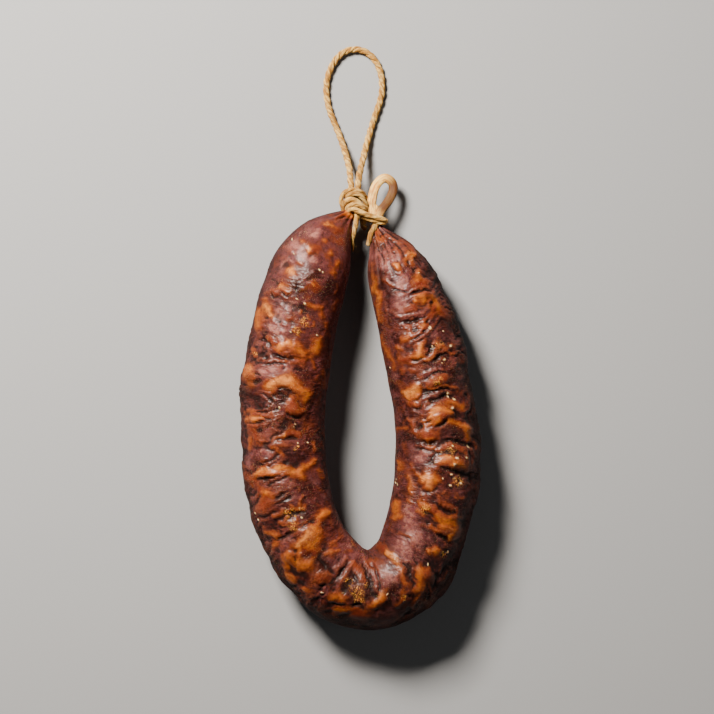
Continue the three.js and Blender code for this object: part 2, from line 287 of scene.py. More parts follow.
class Graph:
    """A material's nodes, added one call at a time."""

    def __init__(self, name: str) -> None:
        """Start an empty material."""
        self.material = bpy.data.materials.new(name)
        self.material.use_nodes = True
        self.tree = self.material.node_tree
        self.tree.nodes.clear()

    def add(self, kind: str, inputs: dict | None = None, **settings) -> bpy.types.Node:
        """Add a node.

        Args:
            kind: the node's type name, without ShaderNode.
            inputs: input name or number to a value or to another node's socket.
            settings: the node's own properties.

        Returns:
            The node.
        """
        node = self.tree.nodes.new("ShaderNode" + kind)
        for key, value in settings.items():
            setattr(node, key, value)
        for key, value in (inputs or {}).items():
            if isinstance(value, Socket):
                self.tree.links.new(value, node.inputs[key])
            else:
                node.inputs[key].default_value = value
        return node

    def attribute(self, name: str) -> Socket:
        """Read a stored number."""
        return self.add("Attribute", attribute_name=name).outputs["Fac"]

    def place(self, name: str, scale: tuple[float, float, float]) -> Socket:
        """Read a stored vector, stretched by a scale along each axis."""
        read = self.add("Attribute", attribute_name=name).outputs["Vector"]
        return self.add("Mapping", {"Vector": read, "Scale": scale}).outputs["Vector"]

    def noise(self, name: str, pattern: Pattern) -> Socket:
        """Fractal noise between 0 and 1, laid out along a stored vector."""
        inputs = {
            "Vector": self.place(name, pattern.scale),
            "Scale": 1.0,
            "Detail": pattern.detail,
            "Roughness": pattern.rough,
            "Distortion": pattern.warp,
        }
        return self.add("TexNoise", inputs).outputs["Fac"]

    def maths(self, operation: str, a, b=0.0, c=0.0) -> Socket:
        """One sum of numbers or sockets, not clamped."""
        return self.add("Math", {0: a, 1: b, 2: c}, operation=operation).outputs[0]

    def times(self, a, b) -> Socket:
        """The product of two."""
        return self.maths("MULTIPLY", a, b)

    def plus(self, a, b) -> Socket:
        """The sum of two."""
        return self.maths("ADD", a, b)

    def rise(self, value, low: float, high: float) -> Socket:
        """A smooth rise from 0 at low to 1 at high."""
        inputs = {"Value": value, "From Min": low, "From Max": high}
        return self.add("MapRange", inputs, interpolation_type="SMOOTHSTEP").outputs[0]

    def level(self, value, low: float, high: float) -> Socket:
        """Carry 0 to 1 over to low to high."""
        return self.add("MapRange", {"Value": value, "To Min": low, "To Max": high}).outputs[0]

    def mix(self, share, first, second, strength: float = 1.0, **settings) -> Socket:
        """Blend two colours.

        Args:
            share: how much of the second, from 0 to 1.
            first: colour where the share is 0.
            second: colour where it is 1.
            strength: factor on the share.
            settings: the mix node's own properties.

        Returns:
            The blend.
        """
        if strength != 1.0:
            share = self.times(share, strength)
        node = self.add("Mix", data_type="RGBA", clamp_factor=True, **settings)
        for number, value in ((0, share), (6, first), (7, second)):
            if isinstance(value, Socket):
                self.tree.links.new(value, node.inputs[number])
            else:
                node.inputs[number].default_value = value
        return node.outputs[2]

    def finish(self, shader: bpy.types.Node) -> Material:
        """Connect the shader to the output and return the material."""
        self.add("OutputMaterial", {"Surface": shader.outputs[0]})
        return self.material


def tint(red: int, green: int, blue: int) -> tuple[float, float, float, float]:
    """A display colour from 0 to 255 as the linear colour that shaders use."""
    share = [c / 255 for c in (red, green, blue)]
    linear = [c / 12.92 if c <= 0.04045 else ((c + 0.055) / 1.055) ** 2.4 for c in share]
    return (*linear, 1.0)


@dataclass(frozen=True)
class Photo:
    """The photo's own measure: where its pixels lie in the part's frame.

    Attributes:
        millimetres_per_pixel: size of one pixel.
        origin: the pixel over the frame's origin, counted right and down.
        size: pixels along one side.
    """

    millimetres_per_pixel: float = 0.42
    origin: tuple[float, float] = (360.0, 402.0)
    size: int = 714

    def place(self, pixels: tuple) -> Array:
        """Carry pixels, right and down, to millimetres, right and up."""
        step = self.millimetres_per_pixel
        return (np.atleast_2d(pixels) - self.origin) * (step, -step)


PHOTO = Photo()


class Kind(Enum):
    """What a feature of the skin is."""

    # Pale fat; some pale marks are painted highlights on the fat.
    PALE = "pale fat"
    AMBER = "amber fat"
    RUST = "fat that shows rusty through lean"
    # A sunk furrow of casing that also gets painted shade.
    CREASE = "a dark furrow"
    # A raised ridge of casing that also gets a painted highlight.
    SKIN = "a lit ridge of casing"
    # Smooth casing: less fine relief, and a painted mauve sheen.
    SMOOTH = "a smooth, mauve stretch of casing"
    # Darker lean; on the dark side of a dome it is painted shade.
    DARK = "a dark stain of lean"


PALE, AMBER, RUST = Kind.PALE, Kind.AMBER, Kind.RUST
CREASE, SKIN, SMOOTH, DARK = Kind.CREASE, Kind.SKIN, Kind.SMOOTH, Kind.DARK
TONES = {PALE: -1.0, AMBER: 0.0, RUST: 1.0}


@dataclass(frozen=True)
class Lump:
    """A lump of fat that pushes the casing out, placed as seen from above.

    Attributes:
        x: place to the right.
        y: place towards the tied ends.
        across: half size round the girth.
        along: half size along the sausage.
        lean: turn of the lump on the skin, in degrees.
        height: how far it pushes the casing out.
    """

    x: float
    y: float
    across: float
    along: float
    lean: float
    height: float


LARGE_LUMPS = (
    Lump(-30.7, 22.7, 6.1, 2.7, 0, 0.7), Lump(-45.8, 12.6, 2.6, 3.4, 0, 0.8),
    Lump(-28.6, 6.7, 7.8, 4.6, 8, 1.0), Lump(-26.9, -2.3, 3.4, 3.0, 0, 0.7),
    Lump(-31.9, -17.2, 5.2, 1.8, 5, 0.8), Lump(-37.0, -29.4, 7.0, 1.7, 12, 0.9),
    Lump(-24.8, -29.8, 2.5, 2.3, 0, 0.6), Lump(-21.0, -54.2, 5.4, 6.4, 0, 1.0),
    Lump(-22.7, -66.0, 4.2, 4.0, 0, 0.8), Lump(-29.8, -62.8, 2.5, 2.7, 0, 0.6),
    Lump(-28.6, -49.6, 3.8, 2.7, 0, 0.7), Lump(37.8, -24.8, 5.7, 2.5, 0, 0.9),
    Lump(29.0, -32.8, 2.7, 3.4, 0, 0.6), Lump(37.4, -51.7, 4.6, 4.8, 0, 0.9),
    Lump(26.9, -70.6, 4.0, 4.4, 0, 0.8), Lump(17.6, -70.6, 2.6, 3.4, 0, 0.5),
    Lump(-8.8, -80.6, 3.0, 3.4, 0, 0.6), Lump(8.8, -81.9, 3.0, 3.6, 20, 0.6),
    Lump(25.2, 21.8, 2.4, 2.8, 0, 0.5), Lump(34.0, -5.9, 4.6, 2.4, -20, 0.9),
    Lump(28.1, -13.4, 3.0, 2.7, 0, 0.6), Lump(44.1, -11.3, 3.8, 2.7, 0, 0.9),
    Lump(36.5, 22.7, 4.2, 2.5, 0, 0.8), Lump(32.3, 9.2, 3.4, 2.2, 0, 0.7),
    Lump(23.1, 62.2, 2.4, 2.8, 0, 0.6), Lump(27.3, 44.9, 3.4, 2.6, 0, 0.7),
    Lump(-22.4, 65.4, 3.4, 3.6, 0, 0.5), Lump(-41.6, 37.0, 3.0, 3.8, 0, 0.7),
)


@dataclass(frozen=True)
class Mark:
    """A feature of the skin, drawn as a line over the photo.

    Attributes:
        kind: what it is.
        half_width: distance from the line, in millimetres, where it has mostly faded.
        height: how far it lifts the casing or, for a crease, sinks it.
        path: pixels of the photo, one for a round spot.
    """

    kind: Kind
    half_width: float
    height: float
    path: tuple

    def reach(self, x: Array, y: Array, top: Array) -> tuple[Array, ...]:
        """Find the skin that the mark reaches.

        Args:
            x: places to the right, flat.
            y: places towards the tied ends, flat.
            top: which of them face the camera.

        Returns:
            Indices of the places, their distance from the line in half widths, the line's
            strength beside them, and how far they lie to its lower right, from -1 to 1. The
            strength is the root of the sine of the share of its length, so it fades at both ends.
        """
        line = PHOTO.place(self.path)
        if len(line) > 1:
            line = Route(tuple(map(tuple, line))).sampled(0.5)
        gone = 3 * self.half_width
        low, high = line.min(axis=0) - gone, line.max(axis=0) + gone
        near = np.flatnonzero(top & (x > low[0]) & (x < high[0]) & (y > low[1]) & (y < high[1]))
        gaps = np.hypot(x[near, None] - line[:, 0], y[near, None] - line[:, 1])
        nearest = gaps.argmin(axis=1)
        lower_right = x[near] - line[nearest, 0] - y[near] + line[nearest, 1]
        lower_right /= 1.4 * self.half_width
        strength = np.sqrt(np.sin(np.pi * (nearest + 0.5) / len(line)))
        return near, gaps.min(axis=1) / self.half_width, strength, np.clip(lower_right, -1, 1)


def marks(kind: Kind, *rows: tuple) -> tuple[Mark, ...]:
    """Marks of one kind: a row is half width, height, then each pixel's column and row."""
    return tuple(Mark(kind, *row[:2], tuple(zip(row[2::2], row[3::2]))) for row in rows)


LEFT_END_MARKS = marks(
    PALE,
    (1.2, 0.4, 346, 212, 350, 213, 353, 215), (1.0, 0.25, 327, 224, 329, 223), (0.9, 0.2, 304, 242),
    (1.3, 0.3, 310, 249, 311, 251), (0.8, 0.15, 298, 263, 301, 266), (1.9, 0.3, 290, 271, 293, 274),
    (0.7, 0.35, 281, 287, 284, 286, 288, 287), (0.8, 0.45, 283, 290, 287, 292, 291, 291),
    (0.5, 0.3, 312, 285, 315, 287), (0.6, 0.3, 303, 291, 306, 290),
    (0.35, 0.3, 336, 286, 335, 292, 334, 296),
) + marks(
    AMBER,
    (1.0, 0.25, 332, 226), (1.1, 0.3, 326, 242), (1.3, 0.35, 331, 254), (1.1, 0.3, 338, 264),
    (1.1, 0.25, 333, 271), (0.8, 0.3, 265, 300, 268, 300),
) + marks(
    RUST,
    (1.5, 0.2, 315, 252, 317, 250), (1.3, 0.2, 338, 230, 341, 230), (1.3, 0.15, 342, 243),
    (0.8, 0.45, 274, 291, 278, 293), (1.3, 0.3, 311, 285, 317, 289),
    (0.8, 0.4, 336, 217, 343, 214, 349, 211),
) + marks(
    SKIN,
    (0.7, 0.35, 287, 249, 291, 250, 290, 253), (0.6, 0.3, 281, 259, 286, 257),
    (0.6, 0.3, 281, 263, 287, 260), (0.6, 0.35, 304, 280, 310, 276, 314, 273),
    (0.5, 0.3, 334, 221, 342, 219, 349, 218),
) + marks(
    SMOOTH,
    (3.6, 0.0, 296, 246, 303, 256), (2.8, 0.0, 284, 268, 291, 264), (2.6, 0.1, 314, 236, 318, 232),
    (2.6, 0.2, 313, 260),
) + marks(
    CREASE,
    (0.4, 0.3, 285, 278, 292, 281, 299, 281, 304, 278), (0.4, 0.25, 311, 257, 316, 255, 320, 257),
    (0.35, 0.4, 294, 284, 298, 286, 302, 284), (0.35, 0.4, 294, 289, 298, 290, 301, 287),
    (0.35, 0.3, 297, 282, 299, 287, 298, 292), (0.45, 0.55, 271, 293, 277, 297, 281, 295),
    (0.45, 0.6, 283, 294, 288, 297, 292, 294), (0.5, 0.4, 304, 283, 312, 281, 320, 279, 329, 281),
    (0.4, 0.3, 332, 219, 341, 217, 349, 214),
) + marks(
    DARK,
    (2.6, 0.0, 296, 285, 300, 289), (2.2, 0.1, 309, 278, 317, 275), (2.4, 0.0, 324, 296, 330, 286),
)

LEFT_ARM_MARKS = marks(
    AMBER,
    (2.0, 0.5, 260, 312, 259, 325), (1.1, 0.4, 309, 305, 316, 307, 322, 309),
    (1.8, 0.7, 283, 347, 291, 345, 298, 350, 303, 354), (0.8, 0.3, 275, 348, 280, 349),
    (1.9, 0.6, 252, 369, 252, 378), (0.7, 0.3, 253, 348, 255, 352, 256, 355),
    (0.8, 0.3, 252, 385, 255, 384), (2.5, 0.9, 291, 383, 298, 387, 305, 393),
    (1.2, 0.3, 306, 397, 307, 400), (2.2, 0.3, 319, 342, 317, 351), (0.7, 0.2, 322, 318, 323, 314),
    (0.5, 0.2, 326, 323, 327, 329), (0.6, 0.2, 323, 369, 324, 378, 325, 387),
    (0.6, 0.2, 313, 362, 315, 368), (0.6, 0.2, 292, 398, 294, 399), (0.8, 0.3, 297, 409, 301, 411),
    (0.9, 0.4, 248, 410, 255, 411), (1.1, 0.6, 248, 419, 255, 419), (0.9, 0.3, 250, 440, 251, 447),
    (1.5, 0.9, 256, 473, 260, 471, 268, 471, 276, 470), (1.6, 0.9, 278, 469, 284, 468, 289, 469),
    (1.3, 0.5, 294, 471, 299, 472, 302, 477), (1.4, 0.4, 301, 468, 307, 465, 313, 461),
    (0.9, 0.5, 265, 491, 272, 492), (0.8, 0.3, 313, 442, 315, 450), (0.8, 0.3, 320, 471, 323, 477),
) + marks(
    PALE,
    (1.9, 0.45, 269, 308, 271, 314), (0.7, 0.3, 301, 312), (0.9, 0.3, 281, 345, 286, 343, 290, 343),
    (0.35, 0.5, 278, 360, 284, 362, 288, 360), (0.6, 0.4, 253, 367, 255, 370, 257, 374),
    (2.3, 0.8, 272, 386, 280, 381, 288, 379), (0.9, 0.6, 256, 419, 263, 417),
    (0.8, 0.7, 275, 438, 280, 436, 285, 434), (0.7, 0.4, 275, 446, 279, 449, 284, 453),
    (0.5, 0.4, 258, 469, 267, 468, 277, 468, 283, 465),
) + marks(
    SMOOTH,
    (2.6, 0.35, 278, 312, 284, 318), (2.6, 0.2, 290, 306, 297, 303), (2.4, 0.2, 272, 328, 283, 331),
    (3.0, 0.4, 266, 371, 277, 373, 289, 370), (1.6, 0.3, 265, 449, 270, 452),
) + marks(
    SKIN,
    (0.5, 0.4, 265, 321, 275, 322, 281, 325, 288, 326), (0.8, 0.4, 258, 344, 264, 347, 271, 351),
    (0.9, 0.5, 259, 358, 268, 360, 277, 361), (0.5, 0.5, 263, 390, 269, 392, 274, 398),
    (0.5, 0.4, 259, 392, 265, 397, 269, 402), (0.5, 0.5, 257, 411, 265, 409, 272, 405),
    (1.3, 0.8, 266, 428, 271, 422, 277, 418, 283, 415),
    (0.8, 0.5, 262, 434, 269, 434, 275, 428, 283, 421), (0.8, 0.5, 262, 439, 270, 437, 277, 430),
    (1.5, 0.5, 275, 444, 280, 443, 286, 444), (0.6, 0.5, 266, 459, 272, 455, 279, 449),
    (0.6, 0.5, 268, 464, 276, 459, 283, 452), (0.5, 0.5, 271, 467, 280, 461, 288, 455),
    (0.9, 0.5, 261, 482, 271, 480, 284, 474), (1.5, 0.7, 265, 486, 273, 487, 281, 485, 290, 481),
) + marks(
    RUST,
    (0.8, 0.3, 289, 320, 291, 319), (1.3, 0.5, 271, 339, 277, 341, 284, 339),
    (0.9, 0.4, 290, 358, 296, 361, 303, 362), (0.5, 0.2, 334, 311, 338, 302),
    (1.2, 0.5, 293, 398, 292, 402), (1.7, 0.6, 290, 407, 294, 404), (1.4, 0.6, 296, 409, 302, 412),
    (0.5, 0.5, 256, 414, 266, 413, 273, 411), (0.5, 0.5, 264, 415, 271, 415, 279, 413),
    (1.4, 0.5, 251, 431, 255, 435, 261, 439), (1.1, 0.4, 251, 425, 257, 425),
    (1.3, 0.5, 287, 433, 292, 432, 300, 433), (1.2, 0.5, 255, 480, 259, 486, 262, 491),
    (1.0, 0.3, 247, 475, 250, 480),
) + marks(
    CREASE,
    (0.5, 0.4, 262, 329, 268, 330), (0.55, 0.7, 258, 339, 265, 341, 272, 345),
    (0.5, 0.5, 260, 346, 267, 350, 274, 353), (0.7, 1.1, 274, 354, 281, 357, 289, 358, 296, 360),
    (0.5, 0.8, 262, 363, 270, 363, 279, 364, 290, 363), (0.5, 0.5, 283, 370, 287, 366),
    (0.5, 0.5, 292, 372, 298, 368, 304, 370), (0.5, 0.6, 257, 373, 263, 374),
    (0.5, 0.5, 248, 382, 256, 382, 264, 379), (0.5, 0.5, 280, 391, 285, 388, 291, 391),
    (0.35, 0.4, 262, 392, 267, 396, 271, 401), (0.6, 0.8, 288, 412, 296, 416, 304, 415),
    (0.35, 0.7, 257, 409, 265, 407, 271, 403), (0.4, 0.8, 255, 413, 264, 411, 273, 410, 281, 407),
    (0.35, 0.6, 256, 416, 266, 416), (0.4, 0.6, 264, 417, 273, 417, 281, 414),
    (0.5, 0.7, 247, 423, 258, 422, 270, 420), (0.6, 0.4, 274, 431, 281, 424, 288, 419),
    (0.5, 0.7, 256, 439, 264, 442, 273, 441), (0.5, 0.7, 276, 441, 284, 438, 292, 437, 300, 438),
    (0.5, 0.4, 262, 446, 270, 446, 274, 450), (0.4, 0.4, 267, 462, 274, 457, 281, 451),
    (0.6, 0.9, 256, 477, 266, 476, 278, 475, 291, 473), (0.5, 0.9, 269, 484, 278, 480, 287, 476),
) + marks(
    DARK,
    (1.6, 0.0, 281, 392, 287, 388, 291, 393), (3.2, 0.5, 246, 393, 252, 391),
    (2.2, 0.0, 292, 463, 299, 458),
)

BEND_MARKS = marks(
    AMBER,
    (0.9, 0.4, 265, 491, 271, 492), (0.6, 0.6, 275, 515, 281, 513, 285, 508),
    (0.6, 0.5, 280, 521, 285, 520, 289, 516), (1.1, 0.5, 267, 532, 272, 532, 277, 533),
    (1.1, 0.3, 275, 543, 279, 540), (1.5, 0.6, 319, 516, 322, 514), (1.4, 0.6, 325, 512, 327, 511),
    (2.5, 0.9, 316, 528, 318, 536, 313, 544), (2.4, 0.8, 302, 560, 310, 560),
    (1.4, 0.5, 304, 565, 309, 565), (1.7, 0.6, 289, 552, 291, 555), (1.2, 0.4, 284, 557, 288, 565),
    (1.6, 0.7, 289, 575, 293, 579), (1.2, 0.4, 306, 587, 310, 589),
    (1.5, 0.8, 373, 602, 379, 597, 383, 591), (1.1, 0.5, 398, 564, 402, 571, 405, 580),
    (1.9, 0.7, 418, 567, 419, 576, 416, 585), (0.7, 0.4, 423, 583, 418, 592, 412, 604),
    (0.8, 0.4, 402, 588, 400, 596, 398, 602), (1.6, 0.7, 333, 595, 338, 593, 343, 595),
    (1.9, 0.4, 337, 609, 345, 608), (0.9, 0.4, 435, 548, 438, 549), (0.6, 0.4, 427, 547, 428, 550),
) + marks(
    CREASE,
    (0.5, 0.6, 272, 498, 280, 494, 289, 490), (0.5, 0.6, 276, 502, 285, 498, 294, 493),
    (0.6, 0.6, 261, 514, 270, 514, 279, 509), (0.4, 0.8, 279, 525, 286, 525, 293, 520),
    (0.4, 0.7, 284, 518, 289, 513, 293, 509), (0.4, 0.8, 294, 512, 300, 509, 304, 509),
    (0.6, 0.9, 275, 536, 285, 534, 296, 530), (0.5, 0.6, 303, 526, 309, 521, 316, 516),
    (0.5, 0.6, 296, 549, 297, 557, 298, 566), (0.5, 0.6, 319, 552, 323, 559, 325, 566),
    (0.5, 0.6, 316, 579, 322, 583, 329, 581), (0.6, 1.0, 330, 581, 336, 574, 343, 567, 350, 558),
    (0.5, 0.6, 351, 568, 355, 575, 359, 581), (0.6, 1.0, 362, 559, 366, 566, 368, 576),
    (0.6, 1.1, 369, 561, 375, 567, 379, 575, 380, 585), (0.5, 0.6, 408, 566, 411, 577, 410, 588),
    (0.5, 0.6, 331, 600, 338, 602, 345, 601), (0.6, 0.8, 351, 605, 358, 603, 365, 607),
) + marks(
    SKIN,
    (1.0, 0.5, 272, 494, 281, 490, 290, 486), (0.5, 0.6, 283, 531, 290, 528, 297, 521),
    (0.4, 0.4, 283, 542, 290, 539, 295, 537), (0.5, 0.6, 303, 530, 309, 525, 315, 521),
    (0.6, 0.6, 317, 575, 322, 570, 327, 570, 331, 571), (0.6, 0.5, 336, 566, 341, 562, 347, 556),
    (0.9, 0.9, 338, 584, 344, 576, 348, 568, 352, 562), (1.1, 0.8, 372, 569, 376, 576, 377, 585),
) + marks(
    RUST,
    (2.4, 0.7, 263, 506, 268, 502), (1.3, 0.2, 304, 549, 313, 549), (2.0, 0.8, 320, 576, 326, 574),
    (1.0, 0.6, 352, 562, 357, 567, 362, 577), (1.6, 0.3, 371, 561, 379, 563),
    (1.6, 0.5, 426, 568, 429, 576), (1.8, 0.4, 354, 611, 364, 613),
) + marks(
    PALE,
    (0.6, 0.6, 289, 511, 292, 508), (0.35, 0.5, 297, 507, 300, 501, 302, 494),
    (0.45, 0.5, 291, 503, 295, 506), (0.8, 0.5, 301, 506, 305, 504),
    (0.5, 0.6, 285, 524, 291, 522, 297, 517), (0.5, 0.5, 298, 523, 300, 520),
    (2.0, 0.9, 299, 543, 303, 537, 309, 530), (0.5, 0.5, 287, 572, 292, 572, 296, 576),
    (0.8, 0.4, 327, 552, 333, 549, 339, 548), (0.5, 0.3, 331, 543, 335, 541),
    (0.6, 0.3, 342, 578, 345, 574), (0.6, 0.7, 373, 599, 379, 594, 384, 586),
    (1.0, 0.5, 388, 551, 392, 555, 396, 560),
) + marks(
    DARK,
    (1.3, 0.0, 305, 551, 311, 551), (2.0, 0.0, 319, 556, 326, 562), (1.3, 0.0, 353, 573, 356, 579),
    (1.8, 0.0, 392, 585, 388, 588), (2.0, 0.0, 369, 591, 374, 589),
) + marks(
    SMOOTH,
    (3.6, 1.0, 386, 571, 390, 579), (3.4, 0.2, 405, 546, 404, 556),
)

RIGHT_ARM_MARKS = marks(
    SKIN,
    (0.6, 0.4, 385, 274, 389, 281), (0.5, 0.4, 402, 294, 410, 292, 418, 288),
    (0.6, 0.7, 430, 302, 427, 308, 421, 313), (0.7, 0.5, 391, 310, 398, 316, 409, 318, 418, 314),
    (0.6, 0.5, 415, 341, 422, 336, 430, 330), (0.8, 0.4, 409, 355, 414, 349),
    (0.4, 0.3, 384, 298, 387, 310, 389, 321), (0.45, 0.5, 422, 376, 428, 371, 434, 368),
    (0.7, 0.6, 430, 378, 436, 375, 444, 377), (0.5, 0.5, 424, 388, 430, 385, 435, 382),
    (0.4, 0.4, 419, 384, 424, 381), (1.9, 0.9, 427, 411, 433, 408, 438, 404),
    (0.8, 0.7, 420, 432, 427, 429, 434, 425), (0.8, 0.5, 423, 469, 430, 467, 436, 464),
    (0.8, 0.4, 421, 492, 424, 497),
) + marks(
    RUST,
    (0.7, 0.4, 384, 279, 388, 281, 392, 285), (1.3, 0.4, 407, 310, 413, 307),
    (1.1, 0.4, 434, 308, 431, 314, 427, 318), (0.5, 0.6, 409, 337, 415, 334, 421, 330, 426, 326),
    (0.5, 0.4, 404, 329, 408, 332, 409, 327), (1.4, 0.3, 402, 360, 407, 359),
    (1.3, 0.3, 442, 312, 448, 316), (0.8, 0.3, 403, 370, 405, 370), (0.8, 0.3, 411, 369, 412, 371),
    (1.5, 0.6, 429, 384, 436, 380, 443, 380), (1.9, 0.6, 411, 401, 416, 404),
    (1.5, 0.4, 441, 417, 445, 415), (0.7, 0.6, 413, 419, 414, 427, 416, 435),
    (0.5, 0.5, 408, 418, 412, 421), (2.1, 0.8, 425, 434, 430, 434),
    (0.9, 0.6, 437, 449, 446, 445, 455, 446, 462, 450), (0.8, 0.4, 410, 462, 412, 468),
    (0.5, 0.4, 400, 532, 405, 533, 409, 534), (1.2, 0.4, 429, 505, 433, 510),
    (0.7, 0.6, 444, 502, 451, 506, 457, 511), (0.5, 0.4, 438, 494, 439, 503),
    (1.5, 0.3, 379, 546, 384, 548),
) + marks(
    SMOOTH,
    (2.6, 0.1, 397, 257, 392, 262), (2.6, 0.2, 400, 284, 403, 280), (3.8, 0.7, 400, 302, 402, 310),
    (2.3, 0.3, 417, 457, 425, 454), (4.6, 0.2, 410, 510, 409, 522, 415, 534),
    (3.4, 0.2, 400, 541, 398, 548),
) + marks(
    DARK,
    (2.6, 0.0, 380, 276, 382, 285), (1.4, 0.2, 388, 296), (3.2, 0.0, 442, 322, 448, 323),
    (2.6, 0.0, 451, 431, 458, 433), (1.3, 0.0, 430, 458, 430, 461),
) + marks(
    CREASE,
    (0.45, 0.5, 390, 291, 400, 290, 410, 293), (0.6, 0.8, 410, 295, 417, 292, 424, 290, 431, 291),
    (0.45, 0.6, 389, 308, 395, 313, 404, 315, 413, 311),
    (0.6, 0.8, 399, 323, 409, 324, 418, 321, 426, 316), (0.4, 0.7, 410, 340, 418, 336, 425, 330),
    (0.4, 0.5, 414, 344, 422, 340, 430, 334), (0.5, 0.6, 411, 359, 417, 360, 423, 356),
    (0.5, 0.8, 426, 354, 430, 350, 435, 345), (0.6, 0.9, 429, 361, 436, 357, 443, 354),
    (0.45, 0.7, 424, 380, 431, 374, 439, 371, 446, 373),
    (0.4, 0.7, 424, 391, 432, 391, 440, 388, 450, 389),
    (0.5, 0.6, 403, 399, 411, 399, 420, 397, 422, 389), (0.6, 0.9, 413, 409, 418, 410, 422, 405),
    (0.8, 1.1, 430, 399, 438, 397, 445, 395, 453, 397), (0.5, 0.7, 444, 407, 451, 410, 458, 412),
    (0.4, 0.7, 423, 422, 429, 419, 432, 417), (0.6, 0.9, 431, 425, 439, 424, 447, 419),
    (0.4, 0.7, 416, 423, 417, 430, 420, 426), (0.6, 1.0, 421, 440, 428, 443, 435, 440),
    (0.7, 1.0, 440, 441, 452, 440, 463, 443, 472, 447), (0.4, 0.6, 414, 446, 421, 447, 427, 448),
    (0.5, 0.6, 427, 463, 431, 457, 436, 452), (0.6, 0.8, 437, 465, 446, 467, 456, 470, 463, 472),
    (0.6, 0.8, 421, 490, 429, 491, 436, 487), (0.4, 0.5, 400, 534, 405, 535, 410, 537),
    (0.7, 0.9, 436, 505, 443, 508, 452, 512), (0.7, 0.9, 436, 532, 443, 536, 451, 541),
) + marks(
    PALE,
    (0.9, 0.5, 417, 296, 415, 302), (0.7, 0.7, 416, 326, 420, 328, 425, 323),
    (1.8, 0.7, 420, 346, 419, 351), (1.0, 0.4, 398, 347, 400, 348),
    (0.8, 0.8, 425, 360, 431, 356, 435, 351, 439, 348), (0.35, 0.2, 377, 300, 378, 312, 379, 322),
    (1.9, 0.8, 415, 386, 413, 390), (1.1, 0.5, 405, 393, 407, 395), (0.6, 0.3, 415, 402, 416, 404),
    (1.3, 0.5, 432, 409, 437, 407), (0.55, 0.6, 422, 421, 427, 417, 432, 414),
    (0.5, 0.5, 424, 425, 429, 421), (0.8, 0.4, 428, 445, 432, 446),
    (0.6, 0.5, 440, 456, 445, 455, 450, 456), (1.9, 0.8, 423, 479, 427, 474, 429, 480, 428, 486),
    (0.8, 0.4, 417, 472, 420, 473), (0.9, 0.4, 408, 476, 410, 482, 412, 486),
    (0.7, 0.4, 408, 499, 410, 500), (0.8, 0.4, 419, 499, 420, 502), (0.9, 0.4, 424, 500, 426, 504),
    (0.8, 0.4, 418, 508, 421, 510), (0.6, 0.3, 447, 525, 449, 527), (0.5, 0.3, 447, 533, 449, 537),
    (0.7, 0.4, 427, 548, 428, 550), (1.3, 0.4, 390, 551, 393, 554),
) + marks(
    AMBER,
    (1.6, 0.6, 421, 298, 424, 303), (1.4, 0.5, 432, 296, 436, 302, 439, 308),
    (1.3, 0.6, 404, 339, 408, 338), (1.2, 0.4, 420, 356, 415, 356),
    (0.5, 0.5, 433, 342, 439, 346, 445, 350, 451, 354),
    (0.9, 0.2, 376, 276, 378, 292, 380, 308, 380, 322), (0.9, 0.2, 381, 336, 384, 348, 387, 357),
    (0.6, 0.2, 389, 352, 392, 361, 395, 368),
    (0.45, 0.6, 429, 389, 435, 388, 441, 386, 451, 386, 459, 389),
    (1.3, 0.6, 410, 396, 416, 395, 419, 391), (1.3, 0.6, 447, 401, 455, 403, 462, 407),
    (1.6, 0.8, 433, 415, 440, 410, 449, 412), (1.7, 0.6, 433, 420, 437, 420),
    (1.0, 0.4, 427, 439, 431, 438), (1.4, 0.7, 448, 422, 457, 424, 465, 428),
    (1.4, 0.5, 466, 428, 468, 438), (0.7, 0.2, 397, 430, 402, 428, 407, 428),
    (1.5, 0.8, 440, 459, 447, 458, 453, 461), (1.5, 0.7, 453, 463, 459, 465, 463, 467),
    (1.6, 0.6, 433, 476, 436, 479), (0.9, 0.4, 409, 488, 411, 492), (1.1, 0.2, 400, 461, 401, 467),
    (1.4, 0.3, 396, 502, 397, 508), (1.2, 0.3, 395, 516, 401, 514),
    (1.5, 0.6, 437, 515, 441, 519, 441, 524), (2.2, 0.9, 447, 518, 453, 521, 455, 528, 452, 532),
    (0.8, 0.5, 431, 524, 435, 529), (0.5, 0.4, 453, 496, 460, 496), (1.5, 0.6, 433, 548, 436, 551),
)

RIGHT_END_MARKS = marks(
    AMBER,
    (0.9, 0.4, 377, 230, 379, 236, 382, 241), (1.6, 0.5, 408, 255, 412, 256),
    (1.0, 0.4, 397, 268, 399, 271), (1.3, 0.4, 417, 274, 419, 280),
    (0.9, 0.2, 374, 284, 377, 291, 380, 299),
) + marks(
    SKIN,
    (0.5, 0.4, 375, 232, 376, 242, 378, 256), (0.6, 0.5, 381, 241, 385, 250, 389, 258),
    (0.5, 0.4, 383, 239, 388, 247, 392, 255), (0.3, 0.3, 398, 275, 404, 279),
) + marks(
    RUST,
    (0.6, 0.4, 385, 235, 390, 239, 394, 243), (0.8, 0.4, 400, 243, 406, 246, 412, 250),
    (0.9, 0.3, 396, 250, 398, 252), (1.6, 0.3, 417, 285, 422, 285),
) + marks(
    CREASE,
    (0.4, 0.5, 378, 245, 381, 254, 385, 263), (0.4, 0.5, 382, 246, 386, 253, 390, 259),
    (0.4, 0.4, 386, 242, 390, 249, 393, 256), (0.4, 0.4, 388, 240, 395, 245, 401, 250),
    (0.35, 0.3, 401, 270, 399, 274, 395, 272),
) + marks(
    PALE,
    (0.5, 0.3, 406, 255, 405, 259, 406, 264), (0.6, 0.4, 410, 259, 411, 264),
    (1.0, 0.5, 395, 266, 397, 267), (0.5, 0.3, 418, 274), (0.35, 0.2, 372, 262, 373, 278, 373, 294),
) + marks(
    SMOOTH,
    (3.0, 0.0, 384, 262, 388, 270),
) + marks(
    DARK,
    (2.4, 0.0, 430, 268, 436, 276),
)

MARKS = LEFT_END_MARKS + LEFT_ARM_MARKS + BEND_MARKS + RIGHT_ARM_MARKS + RIGHT_END_MARKS
